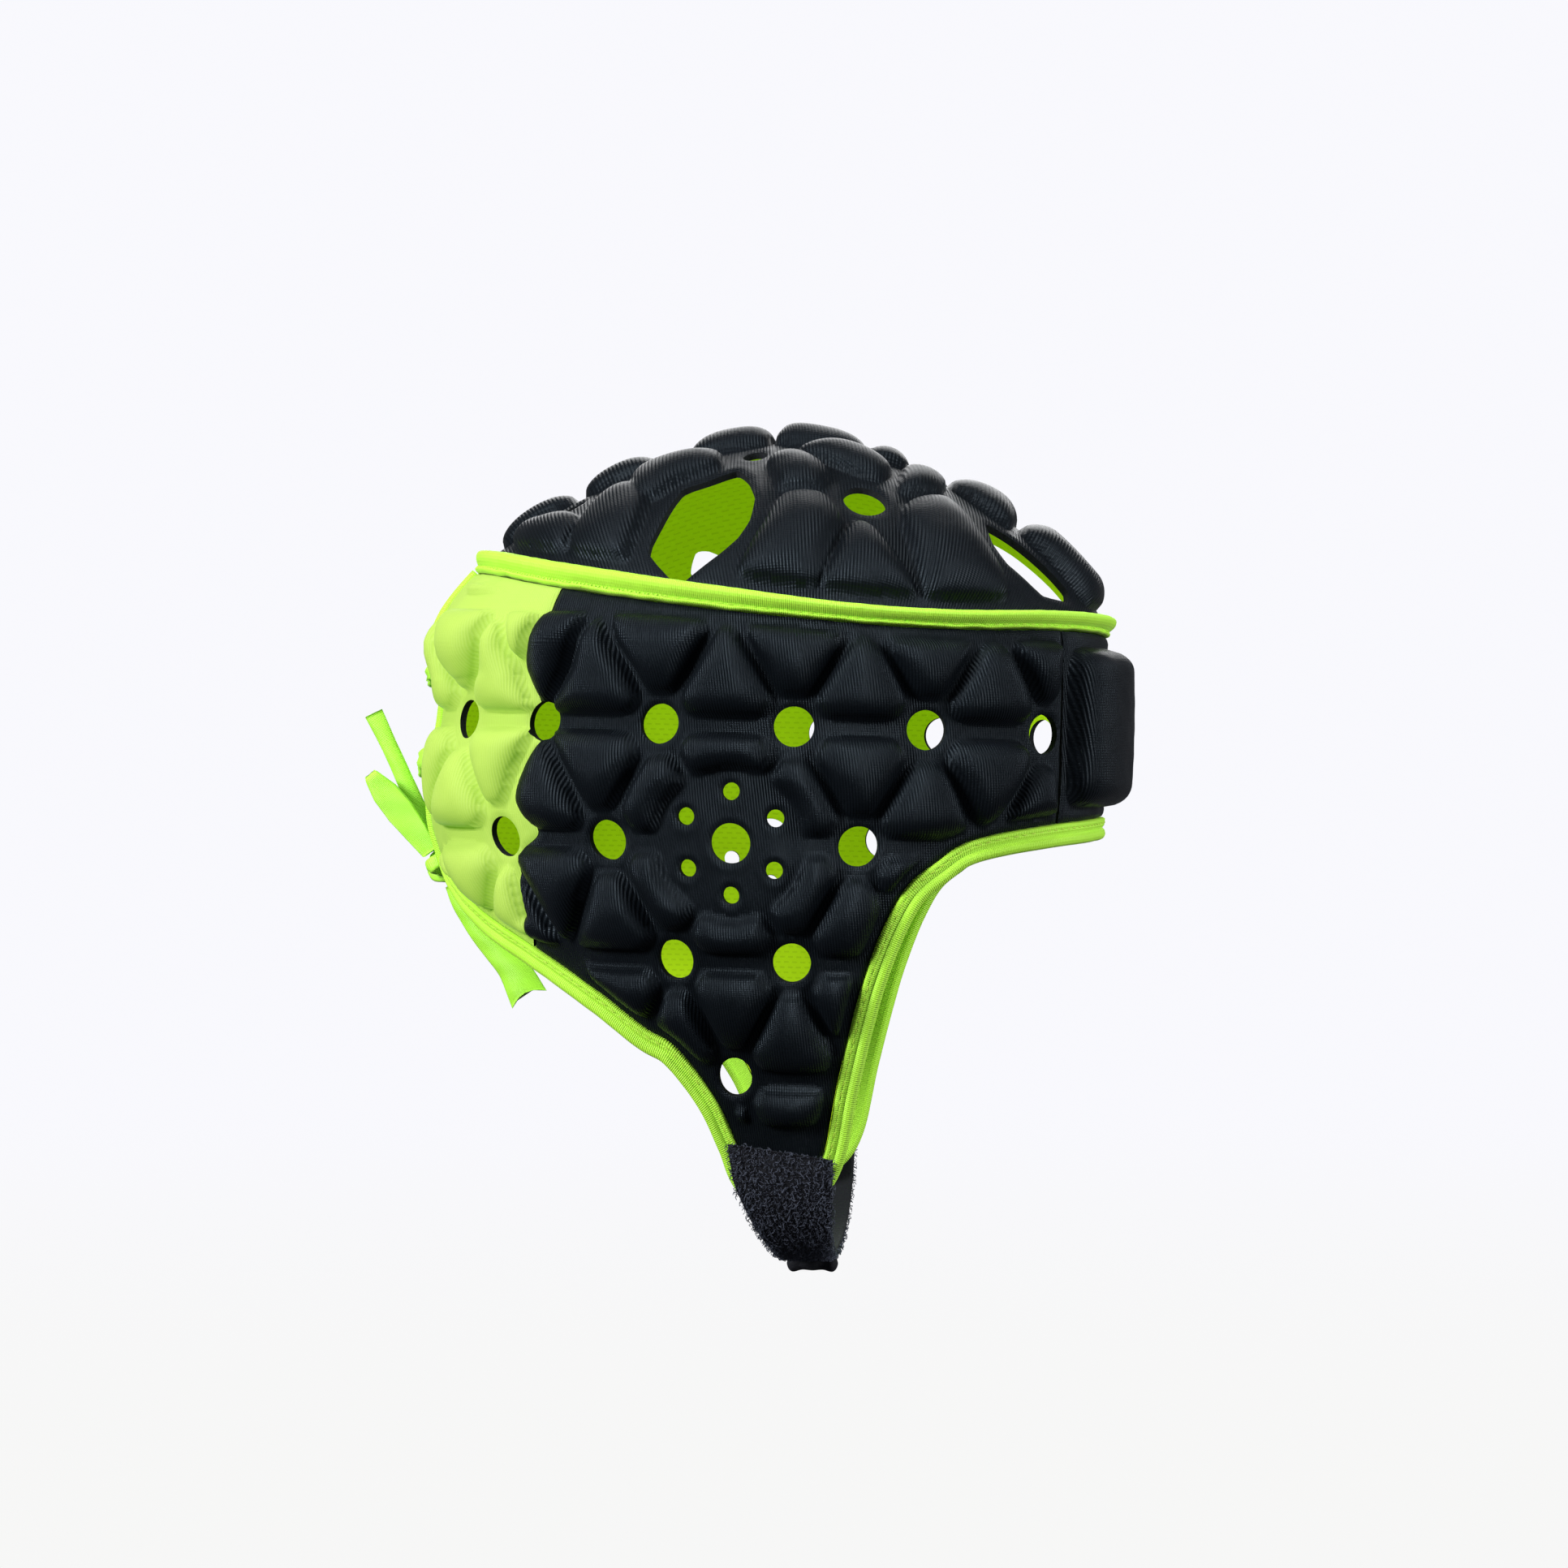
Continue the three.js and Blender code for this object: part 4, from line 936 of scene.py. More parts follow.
def snap_to_feet(points, depth_of, step, apart):
    """Moves points near the foot of a pad onto it, and thins them out there."""
    depth = depth_of(points)
    near = np.flatnonzero(np.abs(depth) < step * 0.5)
    if len(near) == 0:
        return points
    tiny = 0.01
    here = points[near]
    tilt_x = (depth_of(here + [tiny, 0]) - depth[near]) / tiny
    tilt_y = (depth_of(here + [0, tiny]) - depth[near]) / tiny
    tilt = np.stack([tilt_x, tilt_y], -1)
    steep = np.maximum((tilt ** 2).sum(axis=1), 0.25)[:, None]
    moved = here - depth[near][:, None] * tilt / steep
    tree = kdtree.KDTree(len(moved))
    for i, p in enumerate(moved):
        tree.insert((p[0], p[1], 0), i)
    tree.balance()
    dropped = set()
    for i, p in enumerate(moved):
        if i not in dropped:
            close = tree.find_range((p[0], p[1], 0), apart)
            dropped.update(j for _, j, _ in close if j != i)
    kept = [i for i in range(len(moved)) if i not in dropped]
    return np.vstack([np.delete(points, near, axis=0), moved[kept]])


def triangles(loops, inner):
    """Triangles between closed loops and the points inside them."""
    points = np.vstack([*loops, inner])
    edges = []
    start = 0
    for loop in loops:
        edges += [(start + i, start + (i + 1) % len(loop)) for i in range(len(loop))]
        start += len(loop)
    found = delaunay_2d_cdt([Vector(p) for p in points], edges, [], 0, 1e-7)
    source = [ids[0] if ids else -1 for ids in found[3]]
    faces = np.array([[source[v] for v in face] for face in found[2]])
    faces = faces[(faces >= 0).all(axis=1)]
    middle = points[faces].mean(axis=1)
    return points, faces[inside(middle, loops)], edges


# %% A padded shell from its flat plan
WALL = 2.5
EDGE_ROLL = 0.45
EDGE_ROLL_WIDE = 0.5
RIM_SWELL = 0.14
RIM_IN = 1.7
RIM_WIDE = 0.9
LINING_STEP = 3.2
CLOTH_RIPPLE = 0.3
RIPPLE_WAVES = 9
RIPPLE_LONG = (7, 24)


def ripple(points, size, seed):
    """Faint unevenness of cloth: a few long waves in random directions."""
    random = np.random.default_rng(seed)
    total = np.zeros(len(points))
    for _ in range(RIPPLE_WAVES):
        turn = random.uniform(0, np.pi)
        long = random.uniform(*RIPPLE_LONG)
        phase = random.uniform(0, 2 * np.pi)
        way = points[:, 0] * math.cos(turn) + points[:, 1] * math.sin(turn)
        total += np.sin(way * 2 * np.pi / long + phase)
    return total * size / RIPPLE_WAVES


def padded_shell(name, loops, depth_of, height_of, place, step, cloth, seed):
    """Knit face, cut edges and lining face of one panel, closed."""
    inner = grid_points(loops, step, step * 0.6)
    inner = snap_to_feet(inner, depth_of, step, step * 0.5)
    inner = inner[inside(inner, loops)]
    inner = inner[distance_to(inner, loops) > step * 0.45]
    flat, face, edges = triangles(loops, inner)
    from_edge = distance_to(flat, loops)
    border = len(flat) - len(inner)
    from_edge[:border] = 0
    rise = height_of(depth_of(flat))
    rim = RIM_SWELL * np.exp(-((from_edge - RIM_IN) / RIM_WIDE) ** 2)
    rise += rim - EDGE_ROLL * np.exp(-from_edge / EDGE_ROLL_WIDE)
    rise += ripple(flat, CLOTH_RIPPLE, seed)
    outer = place(flat, WALL + rise)
    back_flat, back_face, _ = triangles(loops, grid_points(loops, LINING_STEP, LINING_STEP * 0.4))
    back = place(back_flat, np.zeros(len(back_flat)))
    shift = len(outer)
    faces = [tuple(f) for f in face.tolist()]
    faces += [(shift + a, shift + c, shift + b) for a, b, c in back_face.tolist()]
    used = edge_direction(face, edges)
    faces += [(b, a, shift + a, shift + b) for a, b in used]
    finish_of = np.repeat([0, 2, 1], [len(face), len(back_face), len(used)])
    corners = np.concatenate([np.arange(border), shift + np.arange(border)])
    weave = np.vstack([flat, back_flat])
    return make_piece(name, np.vstack([outer, back]), faces, [cloth, cut_foam, lime_lining], weave,
                      finish_of, corners)


def edge_direction(face, edges):
    """Each border edge in the direction its triangle runs."""
    runs = {(a, b) for tri in face.tolist() for a, b in zip(tri, tri[1:] + tri[:1])}
    return [(a, b) if (a, b) in runs else (b, a) for a, b in edges]


# %% [markdown]
# The side's lower edge runs from the brow round the cheek flap and back to
# the nape. The black side and the lime rear panel share one lattice of pads
# and meet along a seam that follows the pads' outlines.

# %% The side's edges and seams
SIDE_EDGE = [
    (4.04, 0.33), (3.46, 0.3), (2.6, 0.22), (1.92, 0.08), (1.62, -0.12), (1.41, -0.32), (1.26, -0.61),
    (1.13, -0.97), (1.02, -1.38), (0.88, -2.05), (0.77, -2.68), (0.6, -2.93), (0.36, -3.0), (0.12, -2.85),
    (-0.01, -2.55), (-0.21, -2.16), (-0.55, -1.76), (-0.85, -1.6), (-1.29, -1.31), (-1.92, -0.96),
    (-2.64, -0.64), (-3.05, -0.42),
]
PANEL_JOIN = [
    (-1.6, 1.94), (-1.7, 1.69), (-1.79, 1.41), (-1.68, 1.15), (-1.6, 1.0), (-1.66, 0.8), (-1.78, 0.57),
    (-1.79, 0.3), (-1.63, 0.05), (-1.84, -0.12), (-1.9, -0.3), (-1.86, -0.65),
]
JOIN_FOOT = (-1.93, -0.96)
BROW_JOIN_ALONG = 2.74
BROW_JOIN_TOP = 1.8
BROW_JOIN_FOOT = 0.24
NAPE_CORNER = -0.12
LACE_GAP = 14.0
REAR_HEM = 4.5
GAP = 0.3
CUT_STEP = 1.1

NAPE_AROUND = HALF_GIRTH - LACE_GAP / 2 - REAR_HEM
nape_low = EAR_Z + NAPE_CORNER * ROW
nape_top = seam_height(NAPE_AROUND) - GAP
nape_heights = nape_low + (nape_top - nape_low) * np.linspace(0, 1, 5)
nape_edge = to_pattern(np.full(5, NAPE_AROUND), nape_heights)
side_edge = smooth_line(np.vstack([[unit(*p) for p in SIDE_EDGE], nape_edge]))
panel_join = smooth_line([unit(*p) for p in PANEL_JOIN])


def share_near(point):
    nearest = np.linalg.norm(side_edge - point, axis=1).argmin()
    return lengths(side_edge)[nearest] / lengths(side_edge)[-1]


def stretch(line, start, end, step=CUT_STEP):
    count = max(2, int(round(lengths(line)[-1] * abs(end - start) / step)))
    return point_at(line, np.linspace(start, end, count + 1))


def seam_run(start, end):
    around = np.linspace(start, end, max(2, int(abs(end - start) / CUT_STEP)))
    return to_pattern(around, seam_height(around) - GAP)


join_bottom = share_near(unit(*JOIN_FOOT))
brow_end = share_near(unit(BROW_JOIN_ALONG, BROW_JOIN_FOOT))
join_top_around = to_head(panel_join[0])[0]
brow_top_around = to_head(unit(BROW_JOIN_ALONG, BROW_JOIN_TOP))[0]
print("lower edge", round(lengths(side_edge)[-1]), "mm a side")

# %% The lattice of vents and pads
HOLE = 12.0
EAR_PLATE = 43.0
EAR_HOLE = 5.3
EAR_HOLE_CIRCLE = 30.8
EAR_HOLES = 6
HOLE_SIDES = 36
EAR_HOLE_SIDES = 20
VENT_ROWS = [
    (1, (-2.5, -1.5, -0.5, 0.5, 1.5, 2.5)),
    (0, (-2, -1, 0, 1)),
    (-1, (-0.5, 0.5)),
    (-2, (0,)),
]

DRAWN_BACK = np.array([
    (-3.5, 2.0), (-2.5, 3.5), (-1.5, 5.3), (-0.5, 3.6), (0.5, 1.2), (1.5, 0.4), (2.5, -1.6), (3.5, -2.0),
])


def drawn_back(points):
    """Towards the rear the upper rows lie further back than a straight lattice has them."""
    by = np.interp(points[:, 0] / PITCH, DRAWN_BACK[:, 0], DRAWN_BACK[:, 1])
    return points - np.stack([by * np.clip(points[:, 1] / ROW, 0, 1), np.zeros(len(points))], -1)


vents = list(drawn_back(np.array([unit(along, up) for up, spots in VENT_ROWS for along in spots])))


def lattice_pads():
    pads = []
    for up in range(-4, 3):
        shift = 0 if up % 2 == 0 else 0.5
        for i in range(-4, 6):
            low, high = i + shift, i + 0.5 - shift
            pads.append([unit(low, up), unit(low + 1, up), unit(low + 0.5, up + 1)])
            pads.append([unit(high + 1, up + 1), unit(high, up + 1), unit(high + 0.5, up)])
    return [drawn_back(np.array(pad)) for pad in pads]


def bitten(loop, hole):
    """A loop that a vent overlaps takes the vent's edge there."""
    cut = inside(loop, [hole])
    first = next(i for i in range(len(loop)) if cut[i] and not cut[i - 1])
    turned = np.roll(loop, -first, axis=0)
    kept = turned[~inside(turned, [hole])]
    arc = hole[inside(hole, [loop]) & (distance_to(hole, [loop]) > CUT_STEP * 0.5)]
    route = []
    here = kept[-1]
    arc = list(arc)
    while arc:
        nearest = int(np.argmin([np.linalg.norm(p - here) for p in arc]))
        here = arc.pop(nearest)
        route.append(here)
    return np.vstack([kept, route])


print(len(vents), "vents on the lattice")

# %% [markdown]
# Over the ear the cloth is flat, with one vent in the middle and six small
# ones round it. Where the strap is sewn on, at the flap's foot, there are no
# pads either. Both are limits on the pads' height, like the edges.

# %% Side and rear panels
EDGE_MARGIN = 2.6
PAD_RISE = 7.0
PAD_SLOPE = 5.6
PAD_ROUNDING = 1.7
VENT_MARGIN = 2.3
JOIN_MARGIN = {"black": -1.2, "lime": 1.6}
NAPE_MARGIN = 5.0
STRAP_TOP = 2.62
STRAP_PATCH = 0.2
PANEL_STEP = 1.1


def ear_vents():
    turn = np.pi / 2 + np.arange(EAR_HOLES) * np.pi / 3
    middles = np.stack([np.cos(turn), np.sin(turn)], -1) * EAR_HOLE_CIRCLE / 2
    return [circle(middle, EAR_HOLE, EAR_HOLE_SIDES) for middle in middles]


def strap_patch():
    corners = [(-2, -2 * STRAP_TOP), (2, -2 * STRAP_TOP), (2, -STRAP_TOP + STRAP_PATCH),
               (-2, -STRAP_TOP + STRAP_PATCH)]
    return np.array([unit(*corner) for corner in corners])


def side_panel(name, outline, borders, cloth, seed):
    loop = keep_corners(outline, CUT_STEP)
    rounds = []
    for middle in vents:
        hole = circle(middle, HOLE, HOLE_SIDES)
        within_loop = inside(hole, [loop])
        if within_loop.all():
            rounds.append(hole)
        elif within_loop.any():
            loop = bitten(loop, hole)
    has_ear = inside(np.zeros((1, 2)), [loop])[0]
    loops = [loop, *rounds, *(ear_vents() if has_ear else [])]
    limits = [outside(loops[1:], VENT_MARGIN), *(clear_of(line, margin) for line, margin in borders)]
    if has_ear:
        limits += [outside([circle((0, 0), EAR_PLATE, 60)], 0), outside([strap_patch()], 0)]
    pads = [pad for pad in lattice_pads() if inside(pad.mean(axis=0)[None], [loop])[0]
            or inside(pad, [loop]).any()]

    def depth_of(points):
        return pad_depth(points, pads, limits, np.array([GROOVE, VALLEY, VALLEY]) / 2)

    def height_of(depth):
        return pad_height(depth, PAD_RISE, PAD_SLOPE, PAD_ROUNDING)

    def place(points, out):
        around, z = to_head(points)
        return on_head(around, z, out)

    return padded_shell(name, loops, depth_of, height_of, place, PANEL_STEP, cloth, seed)


def black_panel():
    join = stretch(panel_join, 1, 0) + [GAP / 2, 0]
    seam = seam_run(join_top_around - GAP, brow_top_around + GAP)
    hem = stretch(side_edge, brow_end, join_bottom)
    borders = [(join, JOIN_MARGIN["black"]), (np.vstack([seam, hem]), EDGE_MARGIN)]
    return side_panel("side_right_knit", np.vstack([join, seam, hem]), borders, black_knit, 11)


def lime_panel():
    join = stretch(panel_join, 0, 1) - [GAP / 2, 0]
    corner = share_near(nape_edge[0])
    hem = stretch(side_edge, join_bottom, corner)
    nape = stretch(side_edge, corner, 1)
    seam = seam_run(NAPE_AROUND, join_top_around + GAP)
    borders = [(join, JOIN_MARGIN["lime"]), (hem, EDGE_MARGIN), (nape, NAPE_MARGIN), (seam, EDGE_MARGIN)]
    outline = np.vstack([join, hem[1:], nape[1:], seam[1:]])
    return side_panel("rear_right_knit", outline, borders, lime_knit, 12)


side_right = black_panel()
rear_right = lime_panel()
side_left = mirror_of(side_right, "side_left_knit")
rear_left = mirror_of(rear_right, "rear_left_knit")
for piece, slot, node in [
    (side_right, "black_knit", "side_panel_right"),
    (side_left, "black_knit", "side_panel_left"),
    (rear_right, "lime_knit", "rear_panel_right"),
    (rear_left, "lime_knit", "rear_panel_left"),
]:
    place_piece(piece, slot, node)

# %% [markdown]
# The brow panel is one large pad across the forehead, a rounded rectangle. Its
# face is left plain. It is drawn by distance round the head and height.

# %% Brow panel
BROW_RISE = 8.5
BROW_MARGIN_TOP = 3.2
BROW_MARGIN_BOTTOM = 2.4
BROW_MARGIN_SIDE = 0.3
BROW_CORNER = 6.0
BROW_SLOPE = 6.5
BROW_ROUNDING = 2.6


def brow_panel():
    half = brow_top_around - GAP
    lower_flat = stretch(side_edge, brow_end, 0)
    around, z = to_head(lower_flat)
    lower = np.stack([-np.clip(around, 0, half), z], -1)
    lower[0, 0] = -half
    lower[-1, 0] = 0
    reach = np.linspace(0, half, 50)
    upper = np.stack([-reach, seam_height(reach) - GAP], -1)
    right = np.vstack([upper[1:], lower])
    left = right[:-1][::-1] * [-1, 1]
    loop = keep_corners(np.vstack([upper[:1], right, left]), CUT_STEP)
    top = seam_height(0) - BROW_MARGIN_TOP + GROOVE / 2
    foot = lower[-1, 1] + BROW_MARGIN_BOTTOM - GROOVE / 2
    wide = half - BROW_MARGIN_SIDE + GROOVE / 2
    cut = BROW_CORNER
    pad = np.array([(-wide, foot + cut), (-wide + cut, foot), (wide - cut, foot), (wide, foot + cut),
                    (wide, top - cut), (wide - cut, top), (-wide + cut, top), (-wide, top - cut)])
    limits = [within([loop], 0.8)]

    def depth_of(points):
        return pad_depth(points, [pad], limits, GROOVE / 2)

    def height_of(depth):
        return pad_height(depth, BROW_RISE, BROW_SLOPE, BROW_ROUNDING)

    def place(points, out):
        return on_head(-points[:, 0], points[:, 1], out)

    return padded_shell("brow_knit", [loop], depth_of, height_of, place, PANEL_STEP, black_knit, 13)


brow = place_piece(brow_panel(), "black_knit", "brow_pad")

# %% [markdown]
# The crown is one piece of knit over the top, with loose islands of padding
# and openings between them. It is drawn on the flattened dome: places are
# shares of the reach from the top to the brow or nape, and to the side. The
# far side's leaf opening is drawn smaller than the near one, because lining is
# what the eye meets through the near one, with only a corner of daylight.

# %% Crown pads and openings
BINDING = 6.5
CROWN_HOLE = 13.0
DOME_SPREAD = 0.78
CROWN_STEP = 0.95
CROWN_SLOPE = 5.4
CROWN_ROUNDING = 1.7
CROWN_SPREAD = 0.7
CROWN_VENT_MARGIN = 1.8

MIDDLE_PADS = [
    [(-0.65, 0.1), (-0.455, 0.09)],
    [(-0.43, 0.1), (-0.285, 0.11)],
    [(-0.215, 0.12), (-0.13, 0.145), (-0.035, 0.12)],
    [(-0.02, 0.12), (0.1, 0.145), (0.215, 0.12)],
    [(0.22, 0.12), (0.305, 0.13)],
    [(0.4, 0.13), (0.55, 0.25)],
    [(0.575, 0.21), (0.86, 0.29)],
]
PAIRED_PADS = [
    [(-0.49, 0.17), (-0.57, 0.13), (-0.63, 0.34), (-0.47, 0.52), (-0.41, 0.35)],
    [(-0.46, 0.53), (-0.41, 0.34), (-0.34, 0.235), (-0.26, 0.32), (-0.27, 0.52), (-0.33, 0.69)],
    [(-0.31, 0.4), (-0.32, 0.17), (-0.22, 0.15), (-0.12, 0.2), (-0.12, 0.38)],
    [(0.03, 0.24), (0.1, 0.15), (0.225, 0.15), (0.28, 0.24), (0.24, 0.36)],
    [(-0.035, 0.25), (0.05, 0.24), (0.14, 0.36), (0.12, 0.45), (0.01, 0.45)],
    [(0.285, 0.39), (0.3, 0.15), (0.395, 0.14), (0.38, 0.31)],
    [(0.02, 0.47), (0.145, 0.46), (0.18, 0.53), (0.12, 0.85), (-0.09, 0.82)],
    [(0.2, 0.52), (0.12, 0.85), (0.43, 0.82)],
    [(0.28, 0.46), (0.4, 0.31), (0.46, 0.38), (0.65, 0.67), (0.43, 0.83)],
]
FRONT_LEAF = [
    (0.49, 0.31), (0.56, 0.295), (0.76, 0.31), (0.765, 0.4), (0.7, 0.49), (0.57, 0.47), (0.52, 0.41),
]
SIDE_LEAVES = {
    -1: [(-0.083, 0.32), (-0.055, 0.38), (-0.035, 0.465), (-0.042, 0.562), (-0.065, 0.622), (-0.103, 0.67),
         (-0.15, 0.715), (-0.205, 0.765), (-0.27, 0.61), (-0.237, 0.51), (-0.2, 0.37), (-0.145, 0.355)],
    1: [(-0.235, 0.525), (-0.205, 0.535), (-0.15, 0.6), (-0.07, 0.65), (-0.08, 0.69), (-0.15, 0.725),
        (-0.205, 0.74), (-0.262, 0.61)],
}
ROUND_OPENINGS = [((0.215, 0.45), 1.0), ((-0.055, 0.225), 0.6), ((-0.45, 0.16), 0.5)]
FAR_SHIFT = 0.04
CORNER_CUTS = (0.12, 0.3)


def rounded(loop):
    """A polygon whose corners are cut twice, so that it stays angular but soft."""
    for share in CORNER_CUTS:
        ahead_of = np.roll(loop, -1, axis=0)
        behind = np.roll(loop, 1, axis=0)
        loop = np.stack([loop + (behind - loop) * share, loop + (ahead_of - loop) * share], 1).reshape(-1, 2)
    return loop


def on_plan(at, hand):
    return np.array([at[0] * (HEAD_FRONT if at[0] > 0 else HEAD_REAR), at[1] * HEAD_SIDE * hand])


def crown_pads():
    pads = []
    for corners in MIDDLE_PADS:
        right = [on_plan(at, -1) for at in corners]
        left = [on_plan(at, 1) for at in corners]
        pads.append(np.array(right + left[::-1]))
    for corners in PAIRED_PADS:
        pads += [np.array([on_plan(at, hand) for at in corners]) for hand in (-1, 1)]
    return pads


def crown_openings():
    loops = []
    for hand in (-1, 1):
        for corners in (SIDE_LEAVES[hand], FRONT_LEAF):
            leaf = np.array([on_plan(at, hand) for at in corners])
            loops.append(evenly(rounded(leaf), CROWN_STEP, closed=True))
        for middle, wide in ROUND_OPENINGS:
            at = (middle[0], middle[1] + FAR_SHIFT * (hand > 0))
            loops.append(circle(on_plan(at, hand), wide * CROWN_HOLE * DOME_SPREAD, 28))
    return loops


# %% Crown
def crown():
    around = np.linspace(0, 2 * HALF_GIRTH, int(2 * HALF_GIRTH / CUT_STEP), endpoint=False)
    x, y = oval(around)
    rim = np.stack([x, y], -1) * flat_share(above_seam(around, band_wide(around) + GAP))[:, None]
    openings = crown_openings()
    loops = [rim, *openings]
    limits = [within([rim], EDGE_MARGIN), outside(openings, CROWN_VENT_MARGIN)]
    pads = crown_pads()

    def depth_of(points):
        return pad_depth(points, pads, limits, -CROWN_SPREAD)

    def height_of(depth):
        return pad_height(depth, PAD_RISE, CROWN_SLOPE, CROWN_ROUNDING)

    return padded_shell("crown_knit", loops, depth_of, height_of, on_dome, CROWN_STEP, black_knit, 14)


crown_piece = place_piece(crown(), "black_knit", "crown")

# %% [markdown]
# The top binding is a tape folded round the crown's cut edge: one wide rounded
# band with a narrow flange below, sewn down with a running stitch that pulls
# the flange into faint waves. It is a sweep of one section round the whole
# head. Its ribs are bump, because they are finer than a millimetre.

# %% Top binding
BINDING_STEP = 1.0
STITCH_LINE = 1.25
STITCH_OUT = 1.0
WANDER = 0.3
WANDER_WAVES = (17, 29, 43, 61)
SWELL = 0.18
SWELL_WAVES = (31, 53, 83, 113)
TAPE_SECTION = [
    (-0.05, 0.5), (0.1, 1.15), (0.45, 1.4), (0.85, 1.3), (STITCH_LINE, STITCH_OUT), (1.6, 1.6), (2.1, 2.7),
    (2.9, 3.8), (3.9, 4.4), (4.9, 4.3), (5.8, 3.5), (6.4, 2.2), (6.55, 0.9),
]


def binding_section():
    tape = smooth_line(TAPE_SECTION, steps=2) + [0, WALL]
    return np.vstack([[(0, 0)], tape, [(BINDING, WALL), (BINDING, 0)]])


def top_binding():
    around = np.linspace(0, 2 * HALF_GIRTH, int(2 * HALF_GIRTH / BINDING_STEP), endpoint=False)
    section = binding_section()
    random = np.random.default_rng(21)
    phase = random.uniform(0, 2 * np.pi, 4)
    circle_share = around * np.pi / HALF_GIRTH
    wander = sum(np.sin(circle_share * k + p) for k, p in zip(WANDER_WAVES, phase)) / 4
    up = section[:, 0] - wander[:, None] * WANDER * np.clip(1 - section[:, 0] / 2.4, 0, 1)
    up = up * band_wide(around)[:, None] / BINDING
    swell = sum(np.sin(circle_share * k + p) for k, p in zip(SWELL_WAVES, phase[::-1])) / 4
    out = section[:, 1] + swell[:, None] * SWELL * np.clip(section[:, 1] / 5 - 0.3, 0, 1)
    rings = on_head(around[:, None], above_seam(around[:, None], up), out)
    across = lengths(section)
    return sweep("top_binding_tape", rings, True, lime_binding, around, across)


place_piece(top_binding(), "lime_binding", "top_binding")

# %% [markdown]
# The hem is the same idea along the lower edge: a flange beside the panel and a
# round tube beyond it. It runs from the nape's top, down and round the flap,
# across the brow and back up the other side, and it is narrower at the nape.

# %% Hem
HEM = 7.2
HEM_RISE = 1.5
HEM_STEP = 1.2
HEM_NARROWS = 0.08
HEM_SWELL = 0.12


def hem_wide(at):
    """The hem's width by share of the edge: it narrows before the nape's corner."""
    corner = share_near(nape_edge[0])
    return HEM + (REAR_HEM - HEM) * smoothstep((at - corner + HEM_NARROWS) / HEM_NARROWS)


def past_edge(spots):
    """Directions square to the side's edge, away from the panel."""
    along = unit_vector(np.gradient(spots, axis=0))
    return np.stack([-along[:, 1], along[:, 0]], -1)


def hem_section(wide):
    """Beyond the panel's edge, and out from the lining, for each ring."""
    wide = np.asarray(wide)[:, None]
    turn = np.radians(np.linspace(160, -125, 15))
    tube_beyond = 0.73 * wide + 0.27 * wide * np.cos(turn)
    tube_out = WALL - 0.45 + 1.95 * np.sin(turn) + 0 * wide
    shares = np.array([0, 0, 0.1, 0.3, 0.42, 0.5, 0.58, 0.8])
    heights = np.array([0, 0.55, 0.85, 0.9, 0.85, 0.6, 0.85, 0.8])
    flange_beyond = GAP + shares * (0.45 * wide - GAP)
    flange_out = np.where(shares == 0, heights * WALL / 0.55, WALL + heights) + 0 * wide
    flange_out[:, 0] = 0
    return np.hstack([flange_beyond, tube_beyond]), np.hstack([flange_out, tube_out])


def hem():
    count = int(lengths(side_edge)[-1] / HEM_STEP)
    at = np.linspace(0, 1, count + 1)
    spots = point_at(side_edge, at)
    beyond, out = hem_section(hem_wide(at))
    flat = spots[:, None] + past_edge(spots)[:, None] * beyond[..., None]
    around, z = to_head(flat)
    around[0] = 0
    random = np.random.default_rng(22)
    swell = np.convolve(random.normal(0, 1, count + 1), np.hanning(9) / 4, "same")
    right = on_head(around, z, out + swell[:, None] * HEM_SWELL * (out > WALL))
    left = right[1:] * [1, -1, 1]
    rings = np.vstack([right[::-1], left])
    run = lengths(rings[:, 12])
    return sweep("hem_tape", rings, False, lime_binding, run, lengths(np.stack([beyond[0], out[0]], -1)))


place_piece(hem(), "lime_binding", "edge_binding")

# %% [markdown]
# Stitches repeat along a line, which is work for Geometry Nodes: the line is
# resampled at the stitch pitch, a small capsule is set on each point along the
# line's direction, and the copies are made real. The tree's inputs are the
# stitch's own sizes, so one tree sews every seam. Round the rear the top
# binding is sewn with a zigzag, where each stitch is a short line of its own.


# %% Stitches by Geometry Nodes
def new_tree(name, numbers):
    tree = bpy.data.node_groups.new(name, "GeometryNodeTree")
    tree.interface.new_socket("Geometry", in_out="INPUT", socket_type="NodeSocketGeometry")
    for label, value in numbers.items():
        socket = tree.interface.new_socket(label, in_out="INPUT", socket_type="NodeSocketFloat")
        socket.default_value = value
    tree.interface.new_socket("Geometry", in_out="OUTPUT", socket_type="NodeSocketGeometry")
    entry = tree.nodes.new("NodeGroupInput")
    return tree, {s.name: Wire(tree, s) for s in entry.outputs if s.name}


def end_tree(tree, shape, finish):
    start = Wire(tree)
    real = start.add("GeometryNodeRealizeInstances", None, {"Geometry": shape})
    painted = start.add("GeometryNodeSetMaterial", None, {"Geometry": real, "Material": finish})
    leave = tree.nodes.new("NodeGroupOutput")
    tree.links.new(painted.socket, leave.inputs[0])


